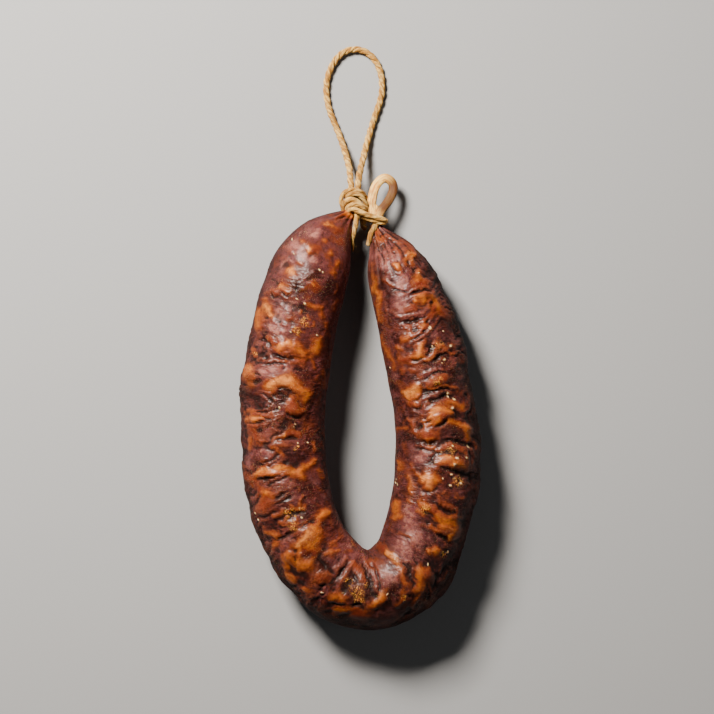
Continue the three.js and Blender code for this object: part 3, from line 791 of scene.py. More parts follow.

# Painted highlights: glints as column, row and size, each on a small bump.
GLINTS = (
    (294.3, 239.5, 0.5), (294, 254, 0.55), (320, 269.5, 0.5), (322, 271.2, 0.5), (303.3, 298, 0.4),
    (298, 298.5, 0.35), (306, 305.4, 0.8), (304.3, 319, 0.5), (289.6, 332.4, 0.55), (316.8, 335, 0.4),
    (316, 322, 0.3), (280.7, 407.6, 0.45), (284.8, 411.5, 0.3), (287, 414.8, 0.3), (296, 427, 0.4),
    (298.6, 423, 0.35), (298.7, 442, 0.45), (308, 441.5, 0.5), (245, 436, 0.4), (258, 512.6, 0.4),
    (260, 517.6, 0.4), (311.5, 511.5, 0.4), (302, 515, 0.4), (322, 592, 0.35), (344, 590, 0.4),
    (306.5, 555.5, 0.35), (386, 591, 0.35), (426, 561, 0.4), (431.5, 565.2, 0.45), (434, 569.5, 0.4),
    (393.5, 557, 0.4), (418, 274.2, 0.45), (428.6, 328.6, 0.6), (432.5, 346, 0.65), (442, 332.6, 0.4),
    (444.6, 359.3, 0.7), (449, 346.6, 0.6), (441.5, 361.5, 0.4), (390.7, 367.4, 0.35),
    (447.6, 392.6, 0.55), (447.2, 396.6, 0.5), (454.8, 398.6, 0.6), (449.8, 408, 0.6),
    (452.5, 438.5, 0.4), (451.6, 444.5, 0.4), (466, 444.6, 0.45), (441, 451.5, 0.4), (462, 455.6, 0.5),
    (435, 461, 0.5), (454, 457, 0.55), (452, 464, 0.5), (449, 473, 0.6), (448, 484, 0.6),
    (453, 477, 0.4), (459, 481.5, 0.6), (441, 477, 0.35), (394.5, 482.5, 0.5), (397.5, 484, 0.4),
    (396, 480.5, 0.35), (421.5, 487.5, 0.4), (446, 549.5, 0.4),
)

FLECKS = marks(
    PALE,
    (0.28, 0.3, 303, 321, 306, 323, 308, 325), (0.28, 0.3, 309, 326, 311, 327, 314, 327),
    (0.28, 0.3, 315, 326, 316, 323), (0.3, 0.3, 294, 329, 298, 327, 301, 328),
    (0.3, 0.3, 293, 331, 297, 335, 300, 338), (0.3, 0.3, 301, 331, 304, 333),
    (0.25, 0.3, 311, 356, 312, 358),
) + marks(
    AMBER,
    (0.3, 0.3, 309, 315, 310, 318, 312, 320),
)

GRIT = (
    (306, 322, 4.5), (298, 332, 4.0), (256, 352, 2.0), (291, 512, 5.5), (301, 507, 3.0), (294, 524, 4.5),
    (349, 581, 4.0), (357, 590, 5.0), (359, 599, 4.0), (366, 583, 2.5), (403, 594, 3.0), (449, 450, 4.0),
    (436, 381, 4.0), (457, 479, 5.0), (438, 344, 3.0), (425, 506, 4.0), (443, 552, 3.0), (298, 447, 2.5),
)


@dataclass(frozen=True)
class Taper:
    """Rise of the girth from a tip: 1 minus the exponential of minus (distance / reach) to a power."""

    reach: float
    sharpness: float

    def at(self, distance: Array) -> Array:
        """Share of the full swelling at a distance from the tip."""
        return 1 - np.exp(-((np.maximum(distance, 0) / self.reach) ** self.sharpness))


@dataclass(frozen=True)
class Section:
    """Cross-sections of the sausage at some distances along it, as arrays."""

    x: Array
    y: Array
    out_x: Array
    out_y: Array
    radius: Array
    height: Array
    taper: Array


@dataclass(frozen=True)
class MiddleLine:
    """The sausage's middle line from the left tip, round the bend and up to the right tip."""

    stations: tuple = (
        (-3.8, 80.0, 16.8), (-14.3, 67.5, 16.8), (-24.8, 42.8, 17.5), (-31.9, 3.4, 17.9),
        (-30.2, -37.0, 17.5), (-24.8, -54.6, 17.2), (-14.3, -70.6, 17.3), (3.2, -79.0, 16.8),
        (20.2, -70.3, 17.4), (27.7, -53.8, 17.4), (31.5, -37.0, 17.8), (30.4, 3.4, 17.2),
        (25.9, 23.8, 16.8), (20.6, 43.7, 15.7), (11.6, 63.8, 15.2), (5.9, 75.2, 15.2),
    )
    sink: float = 0.9
    tip_height: float = 10.5
    neck_radius: float = 2.1
    left: Taper = Taper(14.0, 1.4)
    right: Taper = Taper(15.5, 1.7)

    @cached_property
    def knots(self) -> Array:
        """Straight-line distances along the stations."""
        places = np.array(self.stations)[:, :2]
        return np.concatenate([[0.0], np.cumsum(np.linalg.norm(np.diff(places, axis=0), axis=1))])

    @cached_property
    def spline(self) -> NaturalSpline:
        """The curve of x, y and full radius through the stations."""
        return NaturalSpline(self.knots, np.array(self.stations))

    @property
    def length(self) -> float:
        """Distance from tip to tip."""
        return float(self.knots[-1])

    def section(self, s: Array) -> Section:
        """Cross-sections at distances along the sausage.

        The radius is the neck's plus the taper's share of what the full radius has over it, and
        the middle's height goes the same way from the tips' height to the full radius less the sink.

        Args:
            s: distances from the left tip.

        Returns:
            The sections, as arrays of the same shape.
        """
        here = self.spline.at(s)
        slope = self.spline.at(s + 0.5) - self.spline.at(s - 0.5)
        run = np.hypot(slope[..., 0], slope[..., 1])
        taper = self.left.at(s) * self.right.at(self.length - s)
        full = here[..., 2]
        return Section(
            x=here[..., 0],
            y=here[..., 1],
            out_x=slope[..., 1] / run,
            out_y=-slope[..., 0] / run,
            radius=self.neck_radius + (full - self.neck_radius) * taper,
            height=self.tip_height + (full - self.sink - self.tip_height) * taper,
            taper=taper,
        )

    def place(self, x: float, y: float) -> tuple[float, float, float]:
        """Where a point seen from above lies on the sausage.

        The nearest half millimetre of the middle line gives the distance along it, and the offset
        over the radius is the cosine of the angle round it.

        Args:
            x: place to the right.
            y: place towards the tied ends.

        Returns:
            Distance along, angle round, and radius there.
        """
        s = np.arange(0, self.length, 0.5)
        all_sections = self.section(s)
        i = int(np.argmin(np.hypot(all_sections.x - x, all_sections.y - y)))
        offset = (x - all_sections.x[i]) * all_sections.out_x[i]
        offset += (y - all_sections.y[i]) * all_sections.out_y[i]
        radius = float(all_sections.radius[i])
        return float(s[i]), math.acos(min(max(offset / radius, -0.97), 0.97)), radius


@dataclass(frozen=True)
class CreaseRule:
    """The creases that run part of the way round the girth."""

    count: int = 46
    depth: tuple[float, float] = (0.7, 1.3)
    half_width: tuple[float, float] = (1.6, 2.6)
    half_span: tuple[float, float] = (0.45, 1.0)
    skew: float = 3.0
    seed: int = 4127


@dataclass(frozen=True)
class SwellRule:
    """Slow unevenness of the girth: a sum of sines along and round the sausage."""

    count: int = 9
    height: float = 0.16
    shortest: float = 17.0
    longest: float = 60.0
    seed: int = 911


@dataclass(frozen=True)
class CasingFinish:
    """Cured meat and fat seen through a dried natural casing."""

    lean_dark: tuple = tint(30, 7, 5)
    lean: tuple = tint(63, 23, 18)
    # Mauve lean, also the painted mauve sheen where the casing is smooth.
    mauve_lean_and_sheen: tuple = tint(104, 54, 52)
    # Painted sheen: a pale haze laid on smooth casing in place of a reflection.
    painted_sheen: tuple = tint(158, 104, 90)
    fat_edge: tuple = tint(82, 33, 18)
    fat_amber: tuple = tint(140, 63, 7)
    fat_gold: tuple = tint(198, 110, 11)
    # Pale fat, also used as a painted highlight on the fat.
    fat_pale_and_highlight: tuple = tint(240, 158, 80)
    fat_rust: tuple = tint(94, 26, 7)
    # Painted shade laid in hollows and furrows.
    crease: tuple = tint(20, 6, 4)
    # Painted highlight on ridges of the casing.
    ridge_highlight: tuple = tint(156, 82, 52)
    grit: tuple = tint(218, 146, 58)
    # Colour of the pale specks and of the painted glints.
    speck_and_glint: tuple = tint(244, 204, 144)
    fine: Pattern = Pattern((0.5, 0.36, 0.36), 5.0, 0.62, 0.5)
    patches: Pattern = Pattern((0.14, 0.1, 0.1), 3.0, 0.55, 0.8)
    grain: Pattern = Pattern((1.9, 1.0, 1.0), 3.0, 0.6, 0.3)
    mottle: Pattern = Pattern((0.3, 0.24, 0.24), 4.0, 0.6, 0.9)
    spots: Pattern = Pattern((1.0, 0.9, 0.9), 2.0, 0.5, 0.3)
    clouds: Pattern = Pattern((0.55, 0.5, 0.5), 3.0, 0.6, 0.4)
    grit_grain: Pattern = Pattern((1.5, 1.9, 1.9), 2.0, 0.6, 1.0)
    wrinkle: Pattern = Pattern((0.5, 0.17, 0.17), 1.0, 0.5, 1.0)
    crinkle: Pattern = Pattern((0.6, 0.45, 0.45), 1.0, 0.5, 0.5)
    pores: Pattern = Pattern((1.5, 1.3, 1.3), 0.0, 0.5, 0.2)
    wrinkle_height: float = 0.36
    crinkle_height: float = 0.2
    pore_height: float = 0.04
    dot_height: float = 0.3
    grit_height: float = 0.5
    bump_depth: float = 0.0013

    def lean_colour(self, g: Graph, fine: Socket) -> Socket:
        """Lean meat: dark patches and spots, with painted mauve sheen and haze on smooth casing."""
        smooth_sheen = g.attribute("smooth_sheen")
        clear = g.level(smooth_sheen, 0.8, 0.2)
        patches = g.rise(g.noise("straight", self.patches), 0.36, 0.64)
        colour = g.mix(patches, self.lean_dark, self.lean)
        colour = g.mix(g.rise(fine, 0.42, 0.7), colour, self.mauve_lean_and_sheen, 0.5)
        # Painted mauve sheen on smooth casing.
        colour = g.mix(smooth_sheen, colour, self.mauve_lean_and_sheen, 0.75)
        mottle = g.rise(g.noise("straight", self.mottle), 0.5, 0.68)
        colour = g.mix(g.times(mottle, clear), colour, self.lean_dark)
        # Painted sheen: pale haze on the smoothest casing.
        haze = g.times(g.rise(smooth_sheen, 0.45, 1.0), g.rise(fine, 0.36, 0.66))
        colour = g.mix(haze, colour, self.painted_sheen, 0.7)
        spots = g.rise(g.noise("straight", self.spots), 0.54, 0.66)
        return g.mix(g.times(spots, clear), colour, self.lean_dark)

    def fat_colour(self, g: Graph, fine: Socket, spread: Socket) -> Socket:
        """Fat: rusty to amber by its tone, gold or pale where it is thick, with browner clouds."""
        tone = g.plus(g.attribute("tone"), g.level(fine, -0.7, 0.7))
        colour = g.mix(g.rise(tone, 0.0, 1.1), self.fat_amber, self.fat_rust)
        gold = g.times(g.rise(spread, 0.65, 1.2), g.rise(tone, 0.7, -0.3))
        colour = g.mix(gold, colour, self.fat_gold)
        # Pale where the tone is low and the fat thick: pale fat and a painted highlight.
        pale = g.times(g.rise(tone, 0.1, -1.2), g.rise(spread, 0.6, 1.35))
        colour = g.mix(pale, colour, self.fat_pale_and_highlight)
        clouds = g.rise(g.noise("straight", self.clouds), 0.48, 0.66)
        return g.mix(clouds, colour, self.fat_edge, 0.6)

    def dots(self, g: Graph) -> Socket:
        """Pale specks: the middles of one cell in six or so of a cell pattern, and the painted glints."""
        inputs = {"Vector": g.place("straight", (0.8, 0.8, 0.8)), "Randomness": 1.0}
        cells = g.add("TexVoronoi", inputs)
        chosen = g.add("SeparateColor", {"Color": cells.outputs["Color"]}).outputs["Red"]
        dots = g.times(g.rise(cells.outputs["Distance"], 0.32, 0.12), g.rise(chosen, 0.8, 0.86))
        return g.maths("MAXIMUM", g.times(dots, g.attribute("speckle")), g.attribute("grain"))

    def relief(self, g: Graph, dots: Socket, grit: Socket) -> Socket:
        """The finest wrinkles, fewer on fat and smooth casing, with pores, specks and grit."""
        wrinkle = g.maths("MULTIPLY_ADD", g.noise("straight", self.wrinkle), 2.0, -1.0)
        height = g.times(g.maths("ABSOLUTE", wrinkle), self.wrinkle_height)
        crinkle = g.noise("straight", self.crinkle)
        height = g.maths("MULTIPLY_ADD", crinkle, self.crinkle_height, height)
        for name, low, high in (("crumple", 0.3, 1.0), ("fat", 1.0, 0.35), ("smooth_sheen", 1.0, 0.15)):
            height = g.times(height, g.level(g.attribute(name), low, high))
        height = g.maths("MULTIPLY_ADD", g.noise("straight", self.pores), self.pore_height, height)
        height = g.maths("MULTIPLY_ADD", dots, self.dot_height, height)
        return g.maths("MULTIPLY_ADD", grit, self.grit_height, height)

    def material(self) -> Material:
        """Build the casing's nodes.

        Returns:
            The material. Colour comes from the stored fat, tone, hollow, ridge highlight and smooth sheen
            values, broken up by noise laid out along the straightened sausage. The hollows get painted
            shade, the ridges a painted highlight and smooth casing a painted mauve sheen; the stored
            shade is painted shade and light.
        """
        g = Graph("cured_casing")
        fine, grain = g.noise("straight", self.fine), g.noise("straight", self.grain)
        hollow, flank = g.attribute("hollow"), g.attribute("flank")
        spread = g.plus(g.attribute("fat"), g.level(fine, -0.32, 0.32))
        spread = g.plus(spread, g.level(grain, -0.1, 0.1))
        colour = g.mix(g.rise(spread, 0.0, 0.8), self.lean_colour(g, fine), self.fat_edge)
        colour = g.mix(g.rise(spread, 0.28, 1.4), colour, self.fat_colour(g, fine, spread))
        # Painted highlight on raised ridges and on the lit-ridge marks.
        ridge_highlight = g.times(g.attribute("ridge_highlight"), g.rise(grain, 0.3, 0.7))
        colour = g.mix(ridge_highlight, colour, self.ridge_highlight, 0.32)
        # Darker lean patches, in places painted shade.
        colour = g.mix(g.attribute("stain"), colour, self.lean_dark, 0.75)
        grit = g.rise(g.noise("straight", self.grit_grain), 0.53, 0.58)
        grit = g.times(grit, g.rise(g.attribute("grit"), 0.1, 0.6))
        colour = g.mix(grit, colour, self.grit)
        # Painted shade in hollows and furrows, where the skin lies below its blur.
        deep = g.rise(g.plus(hollow, g.level(grain, -0.2, 0.2)), 0.15, 1.0)
        colour = g.mix(deep, colour, self.crease, 0.85)
        dots = self.dots(g)
        colour = g.mix(dots, colour, self.speck_and_glint)
        # Painted light and shade: darker flanks and bend, lighter inside of the left arm.
        shade = g.add("CombineColor", {key: g.attribute("shade") for key in ("Red", "Green", "Blue")})
        colour = g.mix(1.0, colour, shade.outputs[0], blend_type="MULTIPLY")
        dull = g.maths("MAXIMUM", flank, g.times(g.attribute("smooth_sheen"), 0.8))
        rough = g.level(g.rise(fine, 0.3, 0.7), 0.36, 0.5)
        rough = g.plus(rough, g.times(hollow, 0.25))
        rough = g.maths("MULTIPLY_ADD", flank, 0.45, rough)
        inputs = {"Height": self.relief(g, dots, grit), "Strength": 1.0, "Distance": self.bump_depth}
        bump = g.add("Bump", inputs)
        inputs = {
            "Base Color": colour,
            "Roughness": rough,
            "Normal": bump.outputs[0],
            "Specular IOR Level": 0.14,
            "Specular Tint": (1.0, 0.8, 0.7, 1.0),
            "Coat Weight": g.level(dull, 0.2, 0.04),
            "Coat Roughness": 0.3,
            "Coat Normal": bump.outputs[0],
            "Subsurface Weight": 0.35,
            "Subsurface Radius": (1.0, 0.3, 0.1),
            "Subsurface Scale": 0.0012,
        }
        return g.finish(g.add("BsdfPrincipled", inputs))


@dataclass(frozen=True)
class Grain:
    """A noise over the skin, with its size in millimetres along and across the sausage."""

    along: float
    across: float
    seed: int

    def over(self, places: Array) -> Array:
        """The noise at places on the straightened sausage, on the same grid."""
        size = np.array([self.along, self.across, self.across])
        return gradient_noise(places.reshape(-1, 3) / size, self.seed).reshape(places.shape[:-1])


@dataclass(frozen=True)
class Fold:
    """Wrinkles: height times a noise's size to a power, less a valley along its zero lines.

    Attributes:
        grain: the noise.
        height: height where the noise is 1.
        power: how round the tops are.
        valley: depth of the valley, a bell of the noise.
        width: noise at which the bell has mostly faded.
    """

    grain: Grain
    height: float
    power: float = 1.0
    valley: float = 0.0
    width: float = 1.0

    def over(self, places: Array) -> Array:
        """The wrinkles' height at places on the straightened sausage."""
        noise = self.grain.over(places)
        valley = self.valley * np.exp(-((noise / self.width) ** 2))
        return self.height * np.abs(noise) ** self.power - valley


@dataclass(frozen=True)
class SkinPattern:
    """The noises that make the skin uneven, with the millimetres that the wanders shift it by."""

    wander: tuple = (Grain(13, 13, 11), Grain(17, 15, 12), Grain(17, 15, 13))
    wander_reach: float = 5.5
    fine_wander: tuple = (Grain(4, 5, 14), Grain(5, 6, 15), Grain(5, 6, 16))
    fine_reach: float = 1.4
    tiny_wander: tuple = (Grain(1.6, 1.8, 46), Grain(1.6, 1.8, 47))
    crumple: tuple = (Grain(16, 13, 21), Grain(7, 6, 22))
    folds: tuple = (
        Fold(Grain(3.4, 13, 31), 0.95, 0.85, 0.42, 0.07),
        Fold(Grain(1.9, 6.5, 32), 0.7, 0.9, 0.3, 0.08),
        Fold(Grain(1.15, 2.6, 34), 0.2),
    )
    ridges: Fold = Fold(Grain(17, 2.4, 33), 0.5, 1.0, 0.2, 0.12)
    blots: tuple = (Grain(3.0, 3.4, 41), Grain(1.5, 1.7, 42))
    scatter: Grain = Grain(4.0, 5.5, 43)
    tone: Grain = Grain(9, 9, 44)
    streaks: Grain = Grain(13, 2.4, 45)
    # Where the casing is smooth and gets a painted mauve sheen.
    smooth_sheen: Grain = Grain(7, 8, 51)
    speckle: Grain = Grain(12, 12, 52)


class Skin:
    """The grid that the skin is worked out on, and where on the sausage each place of it lies.

    Places on the straightened sausage are in millimetres; warped, they are bent by noise. Shares
    rise from 0 to 1 towards the smooth left end, the right end, the inside and the outside of the
    horseshoe, the underside, and the camera.
    """

    def __init__(self, line: MiddleLine, s: Array, theta: Array, pattern: SkinPattern) -> None:
        """Work out the shares and the noises that several steps use.

        Args:
            line: the middle line.
            s: distances along it.
            theta: angles round it, 0 outwards and a quarter turn upwards.
            pattern: the noises.
        """
        self.s, self.theta, self.length, self.pattern = s, theta, line.length, pattern
        self.section = line.section(s)
        self.up, out = np.sin(theta), np.cos(theta)
        radius = self.section.radius
        self.straight = np.stack([s, radius * out, radius * self.up], axis=-1)
        self.wander = self.noises(pattern.wander)
        self.fine_wander = self.noises(pattern.fine_wander)
        self.warped = self.straight + pattern.wander_reach * self.wander
        self.warped += pattern.fine_reach * self.fine_wander
        broad, small = (grain.over(self.warped) for grain in pattern.blots)
        self.blot = 0.5 * broad + 0.35 * small
        self.left_end = smoothstep(72, 30, s)
        self.right_end = smoothstep(self.length - 52, self.length - 20, s)
        self.inside = smoothstep(0.1, 0.9, -out)
        self.outside = smoothstep(-0.55, 0.25, out)
        self.below = smoothstep(0.6, 0.95, -self.up)
        self.facing = smoothstep(-0.1, 0.35, self.up)
        broad, small = (grain.over(self.straight) for grain in pattern.crumple)
        crumple = smoothstep(-0.3, 0.25, broad + 0.5 * small)
        self.crumple = (0.35 + 0.65 * crumple) * (1 - 0.6 * self.left_end - 0.35 * self.right_end)

    def noises(self, grains: tuple) -> Array:
        """Several noises over the skin, as the parts of one vector."""
        return np.stack([grain.over(self.straight) for grain in grains], axis=-1)

    def texture(self) -> Array:
        """Folds across the sausage and ridges along its inner side, fainter inside and below."""
        fold = sum(fold.over(self.warped) for fold in self.pattern.folds)
        ridge = self.pattern.ridges.over(self.warped)
        texture = fold * self.crumple * (0.25 + 0.75 * self.outside)
        texture = texture + ridge * (0.2 + 0.6 * (1 - self.outside))
        fade = smoothstep(0.05, 0.5, self.section.taper)
        fade = fade * (1 - 0.45 * self.inside) * (1 - 0.7 * self.below)
        fade *= 0.45 + 0.55 * smoothstep(-0.1, 0.65, self.up)
        return (texture - texture.mean()) * fade


@dataclass(frozen=True)
class Drawing:
    """Works out what the marks, glints and grit add where the skin faces the camera.

    A mark's bell is the exponential of minus the fall times the squared distance in half widths.
    Fat and ridges rise by it, and ridges get a painted highlight. A crease sinks by it, between two
    lips, and gets painted shade. The colour of fat is a wider bell, fainter on thin marks, and its
    tone is paler to the upper left and deeper to the lower right, which is painted light. Glints are
    painted highlights on small bumps.
    """

    fall: float = 0.9
    unevenness: float = 0.5
    rise: float = 1.25
    most_raised: float = 0.75
    lip_place: float = 2.2
    lip_share: float = 0.33
    full_depth: float = 0.6
    # Strength of the painted shade in a crease of full depth.
    darkness: float = 0.6
    soft_edge: float = 0.45
    glow_fall: float = 0.7
    thin_glow: float = 0.5
    glow_gain: float = 0.36
    fat_share: float = 0.95
    # Painted light: how far the tone shifts from a mark's upper left to its lower right.
    painted_light_slant: float = 0.5
    glint_size: float = 0.72
    glint_height: float = 0.3
    glint_unevenness: float = 0.6

    def bell(self, gap: Array) -> Array:
        """A mark's bell at distances in half widths."""
        return np.exp(-self.fall * gap * gap)

    def work_out(self, skin: Skin, wobble: Array) -> dict[str, Array]:
        """Draw everything on the skin.

        Args:
            skin: the grid.
            wobble: noise that shifts the outlines, in millimetres right and up.

        Returns:
            Grids by name: relief, fat, tone, smooth, dark, furrow, lit, glint and grit.
        """
        section = skin.section
        offset = section.radius * np.cos(skin.theta)
        x = (section.x + section.out_x * offset + wobble[..., 0]).ravel()
        y = (section.y + section.out_y * offset + wobble[..., 1]).ravel()
        up, blot = skin.up.ravel(), skin.blot.ravel()
        top = up > 0.0
        edge = smoothstep(0.05, 0.4, up)
        names = ("relief", "fat", "tone", "smooth", "dark", "furrow", "lit", "glint", "grit", "weight")
        grids = {name: np.zeros(len(x)) for name in names}

        def cover(name: str, near: Array, values: Array) -> None:
            """Raise a grid to values where they are higher."""
            grids[name][near] = np.maximum(grids[name][near], values)

        for mark in MARKS + FLECKS:
            near, gap, strength, lower_right = mark.reach(x, y, top)
            gap = gap * (1 - self.unevenness * blot[near])
            bell = self.bell(gap)
            height = mark.height * edge[near]
            if mark.kind is CREASE:
                lips = np.exp(-((gap - self.lip_place) ** 2))
                grids["relief"][near] -= height * strength * (bell - self.lip_share * lips)
                # Crease marks also store painted shade along the furrow.
                dark = self.darkness * min(mark.height / self.full_depth, 1.0)
                cover("furrow", near, dark * bell * strength)
                continue
            grids["relief"][near] += self.rise * height * bell
            if mark.kind in TONES:
                soft = gap * mark.half_width / (mark.half_width + self.soft_edge)
                glow = min(self.thin_glow + self.glow_gain * mark.half_width, 1.0)
                glow = self.fat_share * glow * np.exp(-self.glow_fall * soft * soft)
                grids["fat"][near] = 1 - (1 - grids["fat"][near]) * (1 - glow)
                # Painted light: the tone is paler to the mark's upper left and deeper to its lower right.
                tone = TONES[mark.kind] + self.painted_light_slant * lower_right
                grids["tone"][near] += tone * bell**2
                grids["weight"][near] += bell**2
            else:
                # Lit-ridge marks store a painted highlight, smooth marks a painted sheen, dark marks
                # darker lean.
                cover({SKIN: "lit", SMOOTH: "smooth", DARK: "dark"}[mark.kind], near, bell)
        weight = grids["weight"]
        grids["tone"] *= smoothstep(0.02, 0.3, weight) / np.maximum(weight, 0.02)
        raised = self.most_raised * np.tanh(grids["relief"] / self.most_raised)
        grids["relief"] = np.where(grids["relief"] > 0, raised, grids["relief"])
        # Glints: painted highlights, each on a small bump.
        for column, row, size in GLINTS:
            spot = Mark(PALE, self.glint_size * size, 0.0, ((column, row),))
            near, gap, *_ = spot.reach(x, y, top)
            bell = self.bell(gap * (1 - self.glint_unevenness * blot[near]))
            grids["relief"][near] += self.glint_height * bell
            cover("glint", near, smoothstep(0.25, 0.75, bell))
        for column, row, pixels in GRIT:
            patch = Mark(PALE, pixels * PHOTO.millimetres_per_pixel, 0.0, ((column, row),))
            near, gap, *_ = patch.reach(x, y, top)
            cover("grit", near, self.bell(gap))
        return {name: grid.reshape(skin.s.shape) for name, grid in grids.items()}


@dataclass
class SausageBody:
    """The wrinkled sausage itself."""

    line: MiddleLine
    finish: CasingFinish = CasingFinish()
    rings: int = 700
    sides: int = 140
    top_density: float = 0.35
    tip_density: float = 0.35
    creases: CreaseRule = CreaseRule()
    swells: SwellRule = SwellRule()
    pattern: SkinPattern = SkinPattern()
    drawing: Drawing = Drawing()
    crown: float = 36.6
    crown_soft: float = 1.0
    lump_fall: float = 0.9
    lump_rise: float = 1.2
    pleat_count: int = 13
    pleat_depth: float = 0.385
    pleat_reach: float = 17.0

    def skin(self) -> Skin:
        """The grid of distances along and angles round, closer together at the tips and on top."""
        share = np.linspace(0, 1, self.rings + 1)
        crowding = self.tip_density * np.sin(2 * np.pi * share) / (2 * np.pi)
        turn = 2 * np.pi * np.arange(self.sides) / self.sides
        theta = turn + self.top_density * np.cos(turn)
        s, theta = np.meshgrid(self.line.length * (share - crowding), theta, indexing="ij")
        return Skin(self.line, s, theta, self.pattern)

    def swell_relief(self, skin: Skin) -> Array:
        """Slow swellings: the sum of height times sine of (rate s + turns theta + phase)."""
        rule = self.swells
        stream = RandomStream(rule.seed)
        total = np.zeros_like(skin.s)
        for _ in range(rule.count):
            spread = rule.longest - rule.shortest
            rate = 2 * np.pi / (rule.shortest + spread * stream.draw())
            turns = math.floor(4 * stream.draw())
            phase = 2 * np.pi * stream.draw()
            total += rule.height * np.sin(rate * skin.s + turns * skin.theta + phase)
        return total

    def crease_relief(self, skin: Skin) -> Array:
        """Creases, each a bell-shaped trough that fades round the girth by a squared cosine."""
        rule = self.creases
        stream = RandomStream(rule.seed)
        total = np.zeros_like(skin.s)
        for i in range(rule.count):
            at = self.line.length * (0.07 + 0.86 * (i + 0.8 * stream.draw()) / rule.count)
            middle = -0.7 + 2.5 * stream.draw()
            ranges = (rule.depth, rule.half_width, rule.half_span)
            depth, width, span = (low + (high - low) * stream.draw() for low, high in ranges)
            skew = rule.skew * (2 * stream.draw() - 1)
            turn = np.arctan2(np.sin(skin.theta - middle), np.cos(skin.theta - middle))
            share = np.minimum(np.abs(turn) / span, 1)
            off = (skin.s - at - skew * turn) / width
            total -= depth * np.exp(-off * off) * np.cos(share * np.pi / 2) ** 2
        return total

    def lump_bell(self, skin: Skin, lump: Lump) -> Array:
        """A lump's bell on the skin, which falls with the squared distance in its half sizes.

        Args:
            skin: the grid.
            lump: the lump, whose size across is taken along the curved skin.

        Returns:
            The bell over the grid.
        """
        at, middle, radius = self.line.place(lump.x, lump.y)
        turn = math.radians(lump.lean)
        across = lump.across / max(math.sin(middle), 0.5)
        along_off = skin.s - at
        turned = skin.theta - middle
        across_off = np.arctan2(np.sin(turned), np.cos(turned)) * radius
        u = (across_off * math.cos(turn) + along_off * math.sin(turn)) / across
        v = (along_off * math.cos(turn) - across_off * math.sin(turn)) / lump.along
        return np.exp(-(u * u + v * v) * self.lump_fall)

    def pleats(self, skin: Skin) -> Array:
        """Pleats where the casing is gathered: waves round the girth that fade from the tips.

        The right tip has close pleats and, further down, longer and more uneven ones; the left
        tip has short ones.
        """
        s, theta = skin.s, skin.theta
        from_tip = skin.length - s
        gather = smoothstep(0, 5, from_tip) * (1 - smoothstep(5, self.pleat_reach, from_tip))
        long_gather = smoothstep(3, 9, from_tip) * smoothstep(38, 14, from_tip)
        left_gather = smoothstep(0, 3, s) * (1 - smoothstep(3, 13, s))
        relief = self.pleat_depth * gather * np.cos(self.pleat_count * theta)
        waves = np.abs(np.sin(11.5 * theta + 1.5 * skin.wander[..., 0])) - 0.6
        return relief + 0.42 * long_gather * waves + 0.3 * left_gather * np.cos(11 * theta + 0.4)

    def stored(
        self, skin: Skin, relief: Array, fat: Array, tone: Array, drawn: dict
    ) -> dict[str, Array]:
        """The values that the material reads.

        A hollow lies below, and a ridge above, the skin blurred over a few millimetres: the hollow gets
        painted shade and the ridge a painted highlight. Smooth sheen is where the casing is smooth,
        with a painted mauve sheen. Shade is painted shade that darkens the flanks and the bend, and
        painted light that lightens the left arm's inner side.

        Args:
            skin: the grid.
            relief: height of the skin over its section.
            fat: how much fat shows.
            tone: its tone, from pale to rusty.
            drawn: what the marks add.

        Returns:
            Grids by name.
        """
        # Hollows: where the skin lies below its blur; they get painted shade and more roughness.
        near, wide = blurred(relief, 2.6, 3.4), blurred(relief, 8, 10)
        hollow = np.clip((near - relief - 0.03) / 0.3, 0, 1)
        hollow += 0.45 * np.clip((wide - relief - 0.15) / 0.9, 0, 1)
        hollow = np.maximum(hollow * (1 - 0.8 * skin.inside), drawn["furrow"])
        # Painted highlight on ridges: where the skin stands above its blur, and the lit-ridge marks.
        ridge_highlight = np.clip((relief - near - 0.02) / 0.2, 0, 1) * (1 - 0.5 * skin.left_end)
        # Smooth casing with a painted mauve sheen, stronger towards the top and on the left end.
        smooth_sheen = smoothstep(-0.1, 0.35, self.pattern.smooth_sheen.over(skin.straight)) * (1 - fat)
        smooth_sheen = np.maximum(smooth_sheen * 0.6, skin.left_end * 0.5)
        smooth_sheen = smooth_sheen * (0.5 + 0.5 * smoothstep(-0.2, 0.5, skin.up))
        share = skin.s / skin.length
        left_arm = smoothstep(0.56, 0.44, share)
        bend = smoothstep(0.16, 0.04, np.abs(share - 0.5))
        # Painted shade on the flanks, less on the inner side.
        side = (0.62 - 0.5 * skin.inside) * smoothstep(0.85, 0.1, skin.up)
        # Painted light on the left arm's inner side; painted shade on the right arm's inner side and
        # bend.
        shade = 1 + (0.75 * left_arm - 0.2) * skin.inside - side - 0.14 * bend
        speckle = self.pattern.speckle.over(skin.straight)
        return {
            "fat": fat,
            "tone": tone,
            "hollow": np.clip(hollow, 0, 1),
            "ridge_highlight": np.maximum(ridge_highlight, drawn["lit"]),
            # Darker lean marks, in places painted shade.
            "stain": drawn["dark"],
            "grit": drawn["grit"],
            "crumple": skin.crumple,
            "smooth_sheen": np.maximum(smooth_sheen, drawn["smooth"]) * (1 - drawn["dark"]),
            "shade": np.clip(shade, 0.3, 1.6),
            "flank": smoothstep(0.92, 0.35, skin.up),
            "speckle": smoothstep(0.05, 0.3, speckle),
            # Painted glints.
            "grain": drawn["glint"],
        }

